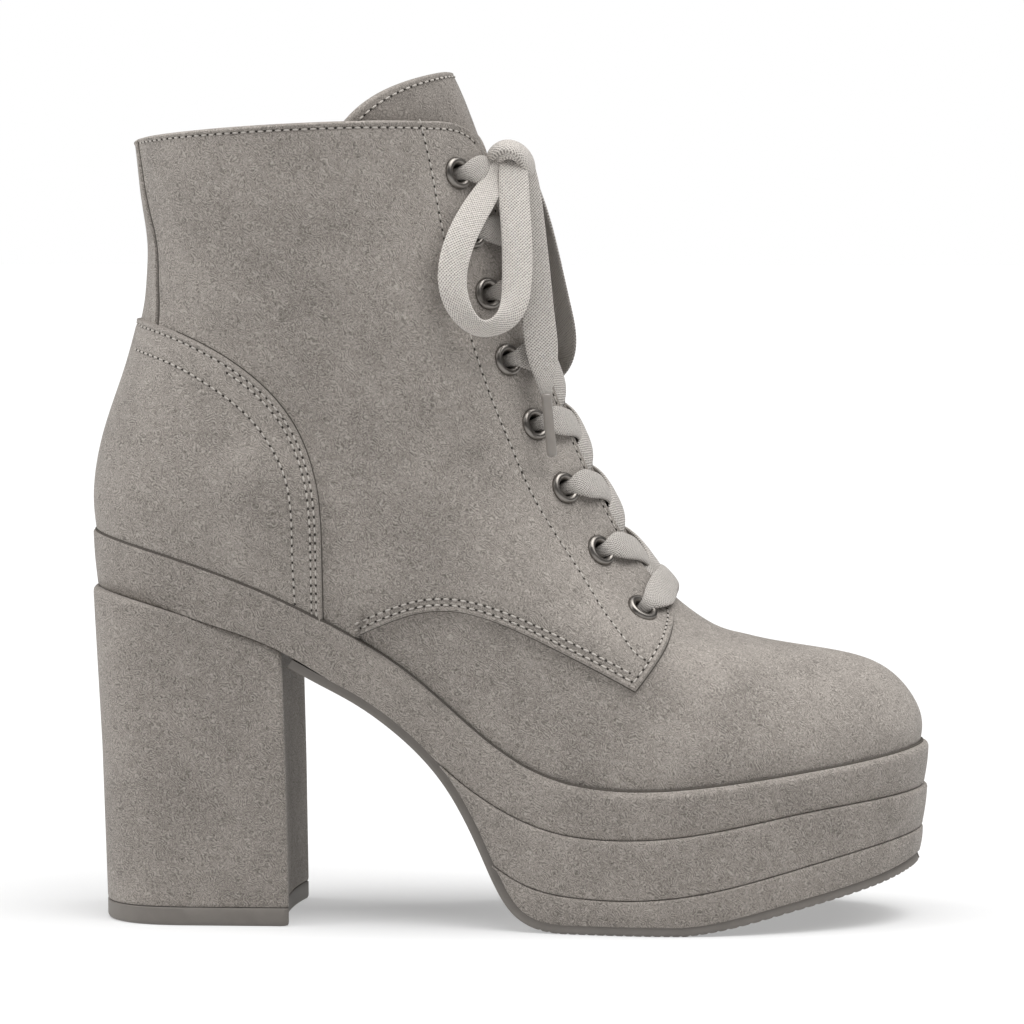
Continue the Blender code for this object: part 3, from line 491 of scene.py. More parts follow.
def suede_nap():
    """Brushed suede: slow clouds of tone, hand strokes, and a swirled nap of short fibres."""
    group, given, put = effect(
        "suede_nap",
        (("Deep", "NodeSocketColor", (0.2, 0.19, 0.17, 1)), ("Brushed", "NodeSocketColor", (0.4, 0.38, 0.35, 1)),
         ("Mottle", "NodeSocketFloat", 0.8), ("Nap", "NodeSocketFloat", 1.0)),
        (("Colour", "NodeSocketColor"), ("Height", "NodeSocketFloat"), ("Roughness", "NodeSocketFloat")))
    place = in_millimetres(group)
    slow = cloud(group, place, 26.0, 3.0, 0.55, 0.5)
    strokes = cloud(group, place, 6.0, 2.0, 0.5, 1.6)
    lie = cloud(group, place, 3.6, 1.0, 0.5, 0.7)
    slope = add(group, "ShaderNodeVectorMath", operation="DOT_PRODUCT")
    group.links.new(place, slope.inputs[0])
    slope.inputs[1].default_value = (6.6, 5.6, 7.2)
    combed = calculate(group, "MULTIPLY_ADD", lie, 76.0, slope.outputs["Value"])
    whorl = calculate(group, "MULTIPLY_ADD", calculate(group, "SINE", combed), 0.5, 0.5)
    patchy = cloud(group, place, 0.5, 2.0, 0.6, 0.8)
    swirl = calculate(group, "MULTIPLY_ADD", whorl, 0.22, calculate(group, "MULTIPLY", patchy, 0.78))
    fibre = cloud(group, place, 0.34, 2.0, 0.6, 0.8)
    worn = calculate(group, "MULTIPLY", calculate(group, "SUBTRACT", slow, 0.5), given.outputs["Mottle"])
    brushed = calculate(group, "MULTIPLY_ADD", calculate(group, "SUBTRACT", strokes, 0.5), 0.35, worn)
    nap = calculate(group, "MULTIPLY_ADD", calculate(group, "SUBTRACT", swirl, 0.5), 2.4,
                    calculate(group, "MULTIPLY", calculate(group, "SUBTRACT", fibre, 0.5), 0.8))
    tone = calculate(group, "MULTIPLY_ADD", nap, given.outputs["Nap"], brushed)
    share = calculate(group, "ADD", tone, 0.5)
    group.links.new(blend_colours(group, share, given.outputs["Deep"], given.outputs["Brushed"]), put.inputs["Colour"])
    group.links.new(calculate(group, "MULTIPLY_ADD", swirl, 0.65, calculate(group, "MULTIPLY", fibre, 0.35)),
                    put.inputs["Height"])
    group.links.new(calculate(group, "MULTIPLY_ADD", share, -0.1, 0.95), put.inputs["Roughness"])
    return group


def handling():
    """Fine uneven gloss and tone of a hard smooth surface that has been handled."""
    group, given, put = effect(
        "handling",
        (("Colour", "NodeSocketColor", (0.1, 0.1, 0.1, 1)), ("Worn colour", "NodeSocketColor", (0.2, 0.2, 0.2, 1)),
         ("Roughness", "NodeSocketFloat", 0.5), ("Unevenness", "NodeSocketFloat", 0.2),
         ("Mark size", "NodeSocketFloat", 1.0)),
        (("Colour", "NodeSocketColor"), ("Roughness", "NodeSocketFloat"), ("Height", "NodeSocketFloat")))
    place = in_millimetres(group)
    larger = add(group, "ShaderNodeVectorMath", operation="SCALE")
    group.links.new(place, larger.inputs[0])
    group.links.new(given.outputs["Mark size"], larger.inputs["Scale"])
    rubbed = cloud(group, larger.outputs[0], 5.0, 4.0, 0.6, 0.6)
    speck = cloud(group, larger.outputs[0], 0.5, 2.0)
    group.links.new(blend_colours(group, rubbed, given.outputs["Colour"], given.outputs["Worn colour"]),
                    put.inputs["Colour"])
    group.links.new(calculate(group, "MULTIPLY_ADD", calculate(group, "SUBTRACT", rubbed, 0.5),
                              given.outputs["Unevenness"], given.outputs["Roughness"]), put.inputs["Roughness"])
    group.links.new(speck, put.inputs["Height"])
    return group


def lace_weave():
    """Flat woven lace: two sets of slanted yarn that cross, with small openings between them darkened as painted shade.
    """
    group, given, put = effect(
        "lace_weave",
        (("Between", "NodeSocketColor", (0.2, 0.19, 0.17, 1)), ("Yarn", "NodeSocketColor", (0.5, 0.48, 0.45, 1)),
         ("Pitch", "NodeSocketFloat", 0.95)),
        (("Colour", "NodeSocketColor"), ("Height", "NodeSocketFloat")))
    split = add(group, "ShaderNodeSeparateXYZ")
    group.links.new(add(group, "ShaderNodeTexCoord").outputs["UV"], split.inputs[0])
    fuzz = cloud(group, in_millimetres(group), 0.6, 2.0)
    astray = calculate(group, "MULTIPLY_ADD", fuzz, 0.5, -0.25)
    lying = calculate(group, "ADD", split.outputs[1], astray)
    crests = []
    for operation in ("ADD", "SUBTRACT"):
        slanted = calculate(group, operation, split.outputs[0], lying)
        yarns = calculate(group, "DIVIDE", slanted, given.outputs["Pitch"])
        wave = calculate(group, "COSINE", calculate(group, "MULTIPLY", yarns, 2 * math.pi))
        crests.append(calculate(group, "MULTIPLY_ADD", wave, 0.5, 0.5))
    opening = calculate(group, "POWER", calculate(group, "MULTIPLY", *crests), 0.8)
    ridge = calculate(group, "MULTIPLY", calculate(group, "SUBTRACT", *crests), 0.1)
    height = calculate(group, "ADD", calculate(group, "SUBTRACT", 0.8, opening), ridge)
    # Colour follows the relief: painted shade in the openings and along the crossing yarns, with a random fuzz of tone.
    share = calculate(group, "MULTIPLY_ADD", height, 0.75, calculate(group, "MULTIPLY", fuzz, 0.5))
    group.links.new(blend_colours(group, share, given.outputs["Between"], given.outputs["Yarn"]), put.inputs["Colour"])
    group.links.new(height, put.inputs["Height"])
    return group


nap_group, handled_group, weave_group = suede_nap(), handling(), lace_weave()


def finish_with(name, group, values, bump, depth, **shader_values):
    """Material that takes its colour, gloss and relief from an effect group."""
    material = bpy.data.materials.new(name)
    material.use_nodes = True
    tree = material.node_tree
    shader = tree.nodes["Principled BSDF"]
    source = add(tree, "ShaderNodeGroup", node_tree=group)
    for label, value in values.items():
        source.inputs[label].default_value = value
    for label, value in shader_values.items():
        shader.inputs[label.replace("_", " ")].default_value = value
    tree.links.new(source.outputs["Colour"], shader.inputs["Base Color"])
    if "Roughness" in source.outputs:
        tree.links.new(source.outputs["Roughness"], shader.inputs["Roughness"])
    relief = add(tree, "ShaderNodeBump", Strength=bump, Distance=depth)
    tree.links.new(source.outputs["Height"], relief.inputs["Height"])
    tree.links.new(relief.outputs[0], shader.inputs["Normal"])
    return material


def suede(name, deep, brushed, mottle, nap, bump, depth=0.0004, **shader_values):
    """Brushed suede between a deep and a brushed tone."""
    values = {"Deep": (*deep, 1), "Brushed": (*brushed, 1), "Mottle": mottle, "Nap": nap}
    return finish_with(name, nap_group, values, bump, depth, **shader_values)


def handled(name, colour, worn, roughness, unevenness, mark_size, bump, depth=0.0001, **shader_values):
    """Hard surface between its own and a worn tone."""
    values = {"Colour": (*colour, 1), "Worn colour": (*worn, 1), "Roughness": roughness,
              "Unevenness": unevenness, "Mark size": mark_size}
    return finish_with(name, handled_group, values, bump, depth, **shader_values)


def woven(name, between, yarn):
    """Flat lace of one yarn, its openings darkened as painted shade."""
    return finish_with(name, weave_group, {"Between": (*between, 1), "Yarn": (*yarn, 1)}, 0.8, 0.0003,
                       Roughness=0.9, Specular_IOR_Level=0.15, Sheen_Weight=0.15)


SHEEN = {"Sheen_Weight": 0.12, "Sheen_Roughness": 0.5, "Specular_IOR_Level": 0.15}
SUEDE_FINISH = suede("taupe_suede", (0.138, 0.124, 0.11), (0.43, 0.392, 0.355), 0.62, 0.95, 0.7, **SHEEN)
SOLE_SUEDE = suede("sole_cover_suede", (0.128, 0.115, 0.102), (0.405, 0.368, 0.333), 0.55, 0.95, 0.65, **SHEEN)
# Painted shade: the tongue's suede is a darker copy of the upper's, for the shade it lies in under the facings.
SHADED_TONGUE_SUEDE = suede("shaded_tongue_suede", (0.122, 0.109, 0.097), (0.376, 0.341, 0.308), 0.5, 0.85, 0.7, **SHEEN)
LINING = suede("brushed_lining", (0.22, 0.2, 0.18), (0.38, 0.355, 0.325), 0.4, 0.4, 0.25, 0.0002,
               Specular_IOR_Level=0.2)
RUBBER = handled("taupe_rubber", (0.145, 0.131, 0.117), (0.21, 0.192, 0.174), 0.55, 0.3, 0.8, 0.15,
                 Specular_IOR_Level=0.4)
GUNMETAL = handled("gunmetal", (0.15, 0.138, 0.125), (0.27, 0.25, 0.23), 0.34, 0.25, 1.6, 0.06, 0.00005, Metallic=1.0)
TIP_PLASTIC = handled("lace_tip_plastic", (0.2, 0.182, 0.164), (0.28, 0.256, 0.232), 0.32, 0.25, 1.2, 0.05, 0.00005,
                      Specular_IOR_Level=0.5)
LACE = woven("woven_lace", (0.18, 0.165, 0.15), (0.76, 0.712, 0.662))
# Painted shade: a darker copy of the same lace, for the crossings, the inner loop and the ends, which lie in shade.
SHADED_LACE = woven("shaded_lace", (0.14, 0.128, 0.116), (0.6, 0.562, 0.522))
THREAD = handled("thread", (0.38, 0.352, 0.32), (0.54, 0.505, 0.466), 0.7, 0.1, 3.0, 0.2, Specular_IOR_Level=0.2)
# Painted shade: near-black dots laid on the surface where the needle holes' shadow falls.
NEEDLE_HOLE_SHADE = handled("needle_hole_shade", (0.03, 0.027, 0.024), (0.06, 0.054, 0.048), 0.9, 0.05, 2.0, 0.1,
                      Specular_IOR_Level=0.1)
# Painted shade: near-black colour of the thin lines laid in the seams where shadow falls.
PAINTED_SEAM_SHADE = handled("painted_seam_shade", (0.07, 0.063, 0.056), (0.12, 0.108, 0.096), 0.95, 0.03, 2.0, 0.1,
                   Specular_IOR_Level=0.05)
FLOOR = handled("studio_paper", (0.45, 0.45, 0.45), (0.47, 0.47, 0.47), 0.9, 0.02, 0.02, 0.02,
                Specular_IOR_Level=0.05, Emission_Color=(1, 1, 1, 1), Emission_Strength=0.36)

bpy.ops.object.select_all(action="DESELECT")
bpy.ops.mesh.primitive_plane_add(size=30.0)
floor = bpy.context.object
floor.name = floor.data.name = "studio_floor"
floor.data.materials.append(FLOOR)


def sheet(name, points):
    """Grid primitive with its points laid on rows and columns of places."""
    rows, columns = points.shape[:2]
    bpy.ops.object.select_all(action="DESELECT")
    bpy.ops.mesh.primitive_grid_add(x_subdivisions=columns - 1, y_subdivisions=rows - 1)
    obj = bpy.context.object
    obj.name = obj.data.name = name
    obj.data.vertices.foreach_set("co", (points * MM).astype(np.float32).ravel())
    obj.data.update()
    return obj


def only(obj):
    """Makes one object the selected and active one."""
    bpy.ops.object.select_all(action="DESELECT")
    obj.select_set(True)
    bpy.context.view_layer.objects.active = obj


def weld(obj, close=False):
    """Merges a mesh's touching points; a body is also closed and turned outwards."""
    only(obj)
    bpy.ops.object.mode_set(mode="EDIT")
    bpy.ops.mesh.select_all(action="SELECT")
    bpy.ops.mesh.remove_doubles(threshold=0.000008)
    if close:
        bpy.ops.mesh.select_all(action="SELECT")
        bpy.ops.mesh.fill_holes(sides=0)
        bpy.ops.mesh.select_all(action="SELECT")
        bpy.ops.mesh.normals_make_consistent(inside=False)
    bpy.ops.object.mode_set(mode="OBJECT")


def body(name, rings):
    """Closed body through rings of places."""
    obj = sheet(name, np.array(rings))
    weld(obj, close=True)
    return obj


def thicken(obj, thickness):
    """Gives a sheet its thickness, towards the foot."""
    only(obj)
    wall = obj.modifiers.new("thickness", "SOLIDIFY")
    wall.thickness = thickness * MM
    wall.offset = -1.0
    bpy.ops.object.modifier_apply(modifier=wall.name)


def punch_eyelets(obj):
    """Cuts the eyelets' holes through a sheet."""
    places = np.empty(len(obj.data.vertices) * 3, np.float32)
    obj.data.vertices.foreach_get("co", places)
    places = places.reshape(-1, 3) / MM
    inside = np.zeros(len(places), bool)
    for place, out in eyelet_axes:
        away = places - place
        depth = away @ out
        from_axis = np.linalg.norm(away - depth[:, None] * out, axis=1)
        inside |= (np.abs(depth) < 8) & (from_axis < PUNCH_RADIUS)
    only(obj)
    bpy.ops.object.mode_set(mode="EDIT")
    bpy.ops.mesh.select_mode(type="VERT")
    bpy.ops.mesh.select_all(action="DESELECT")
    bpy.ops.object.mode_set(mode="OBJECT")
    obj.data.vertices.foreach_set("select", inside)
    bpy.ops.object.mode_set(mode="EDIT")
    bpy.ops.mesh.delete(type="VERT")
    bpy.ops.object.mode_set(mode="OBJECT")


def dress(obj, material, slot, *nodes, sharp=40):
    """Gives a piece its finish and hangs it on the boot in place of CAD nodes."""
    obj.data.materials.clear()
    obj.data.materials.append(material)
    only(obj)
    bpy.ops.object.shade_smooth_by_angle(angle=math.radians(sharp))
    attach(obj, "root")
    if nodes:
        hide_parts(*nodes)
    return obj


def joined(name, pieces):
    """The pieces as one object."""
    only(pieces[0])
    for piece in pieces:
        piece.select_set(True)
    bpy.ops.object.join()
    pieces[0].name = pieces[0].data.name = name
    return pieces[0]


# Lines of the panels' edges and of the stitch rows, as levels and angles on the outer side.
eyelet_spots = locate(EYELETS[:, 0], EYELETS[:, 1])
eyelet_axes = [(skin(level, angle * side, QUARTER_LIFT), last_normal(level, angle * side))
               for side in (1, -1) for level, angle in eyelet_spots]
strip_levels = np.linspace(6.0, COLLAR_LEVEL, 120)
strip_side = np.column_stack((strip_levels, strip_half(strip_levels) + 0.01))
strip_edge = strip_side[-1, 1]
collar_angles = np.linspace(strip_edge, throat_angle(COLLAR_LEVEL), 200)
collar_line = np.column_stack((collar_level(collar_angles), collar_angles))
facing_levels = np.linspace(6.5, COLLAR_LEVEL - CORNER_DROP, 120)
facing = np.column_stack((facing_levels, throat_angle(facing_levels)))
facing[-1] = collar_line[-1]
counter_edge = np.concatenate((COUNTER_FRONT, COUNTER_TOP[-2::-1]))
rim_side = smooth_line(counter_edge, 200)
rim_line = locate(*rim_side.T)
tuck_line = locate(*smooth_line(counter_edge, 200, aside=5.0).T)
split = int(np.argmin(np.abs(rim_side[:, 1] - COUNTER_FRONT[-1, 1])))
rim_line[0, 0] = tuck_line[0, 0] = FOOT_LEVEL
rim_line[-1, 1] = 0.0
seam = locate(*smooth_line(SEAM, 160).T)
seam[0, 0] = -0.2
tab = locate(*smooth_line(TAB, 60).T)


def on_panel(line, lift, side=1):
    """Places along a line of levels and angles, at a lift over the vamp."""
    return skin(line[:, 0], line[:, 1] * side, lift)


def side_row(table, aside=0.0, count=160):
    """Line of levels and angles from a side-view table."""
    return locate(*smooth_line(table, count, aside).T)


def round_back(row):
    """The row carried on at its last level to the middle of the back."""
    last_level, last_angle = row[-1]
    return np.concatenate((row, np.column_stack((np.full(8, last_level), np.linspace(last_angle, 0.0, 9)[1:]))))


throat_row = np.column_stack((facing_levels, facing[:, 1] - 0.055))[4:-10]
collar_row = np.column_stack((collar_line[:, 0] - 0.085, collar_line[:, 1]))[2:-6]
quarter_rows = [side_row(SEAM, 1.8)[2:-3], side_row(SEAM, 3.5)[4:-6], side_row(TAB, 1.9)[10:-6],
                side_row(EYESTAY_ROW), throat_row, collar_row]
counter_rows = [round_back(side_row(counter_edge, 1.6)[3:-6]), side_row(counter_edge, 3.0)[3:-45],
                round_back(side_row(COUNTER_ROW)[2:])]

# Vamp and lining: one shell from facing to facing, open at the collar, the throat and underneath.
levels = np.concatenate((np.linspace(FOOT_LEVEL, 5.9, 66), np.linspace(6.0, 6.14, 4),
                         THROAT_LEVEL + THROAT_ROUND * np.linspace(0, 1, 12) ** 2,
                         np.linspace(6.6, COLLAR_LEVEL, 46)))[:, None]
inner_levels = np.maximum(levels, 0.15)[3:]
columns = np.sin(np.linspace(-1, 1, 201) * math.pi / 2 * 0.8) / math.sin(math.pi / 2 * 0.8)
angles = throat_angle(levels) * columns
inner_angles = throat_angle(inner_levels) * columns[::2]
vamp_points = skin(levels - collar_fall(levels, angles), angles, -0.05)
lining_points = skin(inner_levels - collar_fall(inner_levels, inner_angles), inner_angles, -LINED)[:, ::-1]
for name, points, thickness, finish, slot in (
        ("vamp_shell", vamp_points, SUEDE, SUEDE_FINISH, "suede"),
        ("shaft_lining", lining_points, LINED - SUEDE - 0.1, LINING, "lining")):
    shell = sheet(name, points)
    weld(shell)
    punch_eyelets(shell)
    thicken(shell, thickness)
    dress(shell, finish, slot, "upper")


def panel(name, grid, side, lift, rims, rows, radius=0.6):
    """Sheet laid over the vamp: its rims turn down behind a low bead, and its stitch rows lie in dents."""
    if side < 0:
        grid = grid[:, ::-1]
    flat = skin(grid[..., 0], grid[..., 1] * side, lift)
    to_rim, to_row = (nearest(flat, [on_panel(line, lift, side) for line in lines]) for lines in (rims, rows))
    height = RIM_HEIGHT + (lift - RIM_HEIGHT) * rolled(to_rim, radius) + 0.3 * np.exp(-((to_rim - 0.85) / 0.5) ** 2)
    height -= 0.28 * np.exp(-(to_row / 0.6) ** 2)
    return sheet(name, skin(grid[..., 0], grid[..., 1] * side, height))


# Quarters with the eyelet facings, tucked under the counter and the strip at the back.
tucked = tuck_line[tuck_line[:, 1] > strip_half(7.0) + 0.06]
beside_strip = strip_side[strip_side[:, 0] > tucked[-1, 0] + 0.03]
rear_edge = np.concatenate((tucked, beside_strip[:-1], collar_line[:1]))
foot_edge = np.concatenate((tuck_line[:1], seam))
quarter_grid = patch(foot_edge, collar_line, rear_edge, np.concatenate((tab, facing)),
                     1 - (1 - edge_steps(130)) ** 1.25, edge_steps(120))
quarter_rear = quarter_grid[quarter_grid[:, 0, 0] > tucked[-1, 0] + 0.03, 0]
quarter_rims = (quarter_grid[0], quarter_grid[-1], quarter_grid[:, -1], quarter_rear)
for name, node, side in (("outer_quarter", "quarter_lateral", 1), ("inner_quarter", "quarter_medial", -1)):
    quarter = panel(name, quarter_grid, side, QUARTER_LIFT, quarter_rims, quarter_rows)
    punch_eyelets(quarter)
    thicken(quarter, QUARTER_SUEDE)
    dress(quarter, SUEDE_FINISH, "suede", node)

# Counter, one piece round the heel, and the strip up the back seam.
heel_rim = rim_line[split:][::-1]
heel_front = rim_line[:split + 1]
heel_back = np.column_stack((np.linspace(FOOT_LEVEL, heel_rim[0, 0], 60), np.zeros(60)))
heel_foot = np.column_stack((np.full(80, FOOT_LEVEL), np.linspace(0.0, heel_front[0, 1], 80)))
half_counter = patch(heel_foot, heel_rim, heel_back, heel_front, edge_steps(70)[5:], edge_steps(80))
counter_grid = np.concatenate((half_counter[:, :0:-1] * (1, -1), half_counter), axis=1)
counter_rims = (counter_grid[-1], counter_grid[:, 0], counter_grid[:, -1])
counter = panel("counter_cover", counter_grid, 1, COUNTER_LIFT, counter_rims,
                [row * (1, side) for side in (1, -1) for row in counter_rows])
thicken(counter, COVER_SUEDE)
dress(counter, SUEDE_FINISH, "suede", "heel_counter")

strip_across = edge_steps(50) * 2 - 1
strip_low = np.interp(np.abs(strip_across) * 0.4, heel_rim[:, 1], heel_rim[:, 0]) - 0.12
strip_top = collar_level(strip_across * strip_half(COLLAR_LEVEL))
strip_rows = strip_low + (strip_top - strip_low) * edge_steps(80)[:, None]
strip_grid = np.stack((strip_rows, strip_across * strip_half(strip_rows)), axis=-1)
strip_rims = (strip_grid[:, 0], strip_grid[:, -1], strip_grid[-1])
back_strip = panel("back_strip", strip_grid, 1, STRIP_LIFT, strip_rims, [], 0.9)
thicken(back_strip, COVER_SUEDE)
dress(back_strip, SUEDE_FINISH, "suede", "backstay")

# Tongue: under the facings, wrapped round the front of the ankle, its top edge falling to the sides.
def tongue_place(share, spread, depth):
    """Place on the tongue, and its normal, at a share of its height and of its spread to either side."""
    reach = 0.42 + 0.88 * np.minimum(1.0, share * 1.35) ** 0.8
    level = TONGUE_FOOT + (TIP_LEVEL - np.abs(spread) ** 2.4 - TONGUE_FOOT) * share
    between_facings = 1 / (1 + (np.abs(spread) * reach / 0.34) ** 6)
    full = between_facings * np.clip((share - 0.1) * 8, 0, 1) * np.clip((0.97 - share) * 5, 0, 1)
    curl = 1.7 * np.clip((share - 0.984) / 0.016, 0, 1) ** 2
    settle = 2.35 + np.minimum(1.0, share * 6) + depth + curl - 3.2 * full
    return last_point(level, math.pi + spread * reach, -settle), last_normal(level, math.pi + spread * reach)


tongue = sheet("lined_tongue", tongue_place(edge_steps(80)[6:, None], np.linspace(-1, 1, 61), 0.0)[0])
thicken(tongue, 2.2)
only(tongue)
soft_rim = tongue.modifiers.new("soft_rim", "BEVEL")
soft_rim.width = 0.0008
soft_rim.segments = 3
soft_rim.limit_method = "ANGLE"
soft_rim.angle_limit = math.radians(50)
bpy.ops.object.modifier_apply(modifier=soft_rim.name)
dress(tongue, SHADED_TONGUE_SUEDE, "suede", "tongue", sharp=60)


# Sole: the outsole, the covered layers, the heel and the sock.
def sole_edge(angle, margin):
    """Plan of the upper's feather line, moved out by a margin."""
    along_edge = bare_point(0.0, angle + 0.002) - bare_point(0.0, angle - 0.002)
    out = unit(np.stack((along_edge[..., 1], -along_edge[..., 0]), axis=-1))
    return bare_point(0.0, angle)[..., :2] + out * np.broadcast_to(margin, len(angle))[:, None]


def spine(angles):
    """Plan of the line that a layer closes on, down the middle of the sole."""
    x = np.clip(bare_point(0.0, angles)[:, 0], -106.0, 106.0)
    return np.stack((x, swing(x)), axis=-1)


def layer(name, angles, edge, top, foot, shoulder, lean, foot_round=0.7, groove=0.0):
    """Covered layer of the sole: a rolled upper edge, a side that leans in, a soft foot."""
    middle = bare_point(0.0, angles)[:, 0]
    shoulder = shoulder(middle) if callable(shoulder) else np.full(len(middle), shoulder)
    quarter_turn = np.linspace(0, math.pi / 2, 7)
    profile = [(None, 0.0, -groove), (shoulder + 5.0, 0.0, -groove), (shoulder + 0.5, 0.0, -groove),
               (shoulder + 0.15, 0.0, -groove * 0.3)]
    profile += [(shoulder * (1 - math.sin(t)), 0.0, -shoulder * (1 - math.cos(t))) for t in quarter_turn]
    profile += [(lean * s - 0.2 * math.sin(math.pi * s), s, foot_round * s - shoulder * (1 - s))
                for s in (0.15, 0.3, 0.45, 0.6, 0.75, 0.9)]
    profile += [(lean + foot_round * (1 - math.cos(t)), 1.0, foot_round * (1 - math.sin(t))) for t in quarter_turn[::2]]
    profile += [(lean + 5.0, 1.0, 0.0), (None, 1.0, 0.0)]
    rings = []
    for inset, share, drop in profile:
        plan = spine(angles) if inset is None else sole_edge(angles, edge(middle) - inset)
        high, low = top(plan[:, 0]), foot(plan[:, 0])
        room = np.maximum(high - low, 0.8) / 3
        rings.append(np.column_stack((plan, high + (low - high) * share + np.clip(drop, -room, room))))
    return body(name, rings)


face_run = run_along(OUTSOLE_FACE)
face_line = spline(face_run, OUTSOLE_FACE)
face_at = np.concatenate((np.linspace(0, face_run[-5], 240)[:-1],
                          face_run[-5] + (face_run[-1] - face_run[-5]) * np.sin(np.linspace(0, math.pi / 2, 110))))
face = face_line(face_at)
heading = unit(face_line(face_at + 0.5) - face_line(face_at - 0.5))
flat = (face[:, 0] > FLAT_SPOT[0] - 1) & (face[:, 0] < FLAT_SPOT[1] + 1)
face[:, 1] = np.where(flat, 0.0, np.maximum(face[:, 1], 0.0))
rise = np.where(flat[:, None], (0.0, 1.0), np.stack((-heading[:, 1], heading[:, 0]), axis=-1))
half_round = np.linspace(0.0, math.pi, 800)
outer_y, inner_y = (np.interp(np.minimum(face[:, 0], 116.7), *sole_edge(turn, -0.3).T)
                    for turn in (half_round, 2 * math.pi - half_round))
half = np.maximum((inner_y - outer_y) / 2, 0.4)
centre = (inner_y + outer_y) / 2
# Half of the outsole's section as shares of its half width and heights, with fine nicks along the
# lower edge of the forefoot. The other half mirrors it.
nick = np.where((np.arange(len(face)) % 4 == 0) & (face[:, 0] > 8) & (face[:, 0] < 114), 0.25, 0.0)
half_section = [(share, np.maximum(height, nick) if share > 0.9 else np.full(len(face), height))
                for share, height in ((0.0, OUTSOLE), (1.0, OUTSOLE), (1.0, 1.0), (0.996, 0.35), (0.985, 0.0),
                                      (0.9, 0.0), (0.5, 0.0), (0.0, 0.0))]
section = half_section + [(-share, height) for share, height in half_section[-2::-1]]
rubber_sole = body("rubber_sole", [
    np.column_stack((face[:, 0] + rise[:, 0] * height, centre + half * share, face[:, 1] + rise[:, 1] * height))
    for share, height in section])
dress(rubber_sole, RUBBER, "rubber", "outsole")
bed = face + rise * OUTSOLE


def outsole_top(x):
    """Height that the layers above the outsole rest on."""
    return np.interp(x, bed[:, 0], bed[:, 1])


def forefoot_angles(start, slope_end, on_slope, to_toe):
    """Angles of stations along a forefoot layer: close on the slope, then on to the toe and back."""
    first, last = SECTIONS[0, 1], SECTIONS[0, 3]
    slope = np.arccos(1 - 2 * (np.linspace(start, slope_end, on_slope) - first) / (last - first))
    outer = np.concatenate((slope[:-1], np.linspace(slope[-1], math.pi, to_toe)))
    return np.concatenate((outer, 2 * math.pi - outer[-2::-1]))


middle_angles = forefoot_angles(-18.0, 8.0, 50, 90)
to_slope = np.linspace(0, middle_angles[0], 90)[:-1]
around = np.concatenate((to_slope, middle_angles, 2 * math.pi - to_slope[::-1]))
rand_cover = layer(
    "rand_cover", around, rand_edge, lambda x: feather(x) + 0.2,
    lambda x: np.maximum(rand_foot(x), outsole_top(x) + 0.15),
    lambda x: rand_edge(x) - panel_foot(x), 1.2, groove=2.0)
dress(rand_cover, SOLE_SUEDE, "suede", "rand", sharp=60)
middle_layer = layer(
    "platform_middle_cover", middle_angles, lambda x: rand_edge(x) - 0.3, lambda x: rand_foot(x) - 0.1,
    lambda x: np.minimum(np.maximum(middle_foot(x), outsole_top(x)), rand_foot(x) - 1.0), 1.1, 1.3)
dress(middle_layer, SOLE_SUEDE, "suede", "platform_middle", sharp=60)
base_layer = layer(
    "platform_base_cover", forefoot_angles(-3.2, 16.0, 44, 90), lambda x: rand_edge(x) - 1.5,
    lambda x: middle_foot(x) - 0.1, lambda x: np.minimum(outsole_top(x), middle_foot(x) - 1.0), 0.9, 0.8, 0.4)
dress(base_layer, SOLE_SUEDE, "suede", "platform_base", sharp=60)


def heel_plan(share, inset=0.0):
    """Plan of the heel at a share of its height, a block with a hollow breast."""
    back_x, breast_x, half = (np.interp(share, HEEL[:, 0], HEEL[:, i]) for i in (1, 2, 3))
    back_x, breast_x, half = back_x + inset, breast_x - inset, half - inset
    reach, fullness = 27.0, 2 / 2.7
    turn = np.linspace(-math.pi / 2, math.pi / 2, 121)
    rear = np.column_stack((back_x + reach - reach * np.abs(np.cos(turn)) ** fullness,
                            np.sign(turn) * half * np.abs(np.sin(turn)) ** fullness))
    bend = np.linspace(0, math.pi / 2, 7)
    side_end, breast_half = breast_x - HEEL_CORNER, half - HEEL_CORNER
    corner = np.column_stack((side_end + HEEL_CORNER * np.sin(bend), breast_half + HEEL_CORNER * np.cos(bend)))
    across = np.linspace(breast_half, -breast_half, 41)
    breast = np.column_stack((breast_x - BREAST_HOLLOW * (1 - (across / breast_half) ** 2), across))
    side_steps = np.column_stack((np.linspace(rear[-1, 0], side_end, 12)[1:-1], np.full(10, half)))
    other_side = np.concatenate((corner[::-1], side_steps[::-1])) * (1, -1)
    return np.concatenate((rear, side_steps, corner, breast[1:-1], other_side, rear[:1]))


heel_foot_height = TOP_PIECE + 0.1
heel_steps = [(0.0, 6.0), (0.0, 0.5), (0.003, 0.1)] + [(share, 0.0) for share in np.linspace(0.012, 0.98, 40)]
heel_steps += [(0.992, 0.15), (1.0, 0.7), (1.0, 6.0)]
rings = []
for share, inset in heel_steps:
    plan = heel_plan(share, inset)
    height = heel_foot_height + (rand_foot(plan[:, 0]) - 0.05 - heel_foot_height) * share
    rings.append(np.column_stack((plan, height)))
dress(body("heel_cover", rings), SOLE_SUEDE, "suede", "heel_block", sharp=60)
rings = []
for inset, height in ((8.0, 0.0), (0.9, 0.0), (0.35, 0.2), (0.1, 0.6), (0.0, 1.1), (0.0, 3.0),
                      (0.0, TOP_PIECE - 0.3), (0.25, TOP_PIECE), (8.0, TOP_PIECE)):
    plan = heel_plan(0.0, inset)
    rings.append(np.column_stack((plan, np.full(len(plan), height))))
dress(body("heel_lift", rings), RUBBER, "rubber", "heel_top_piece")

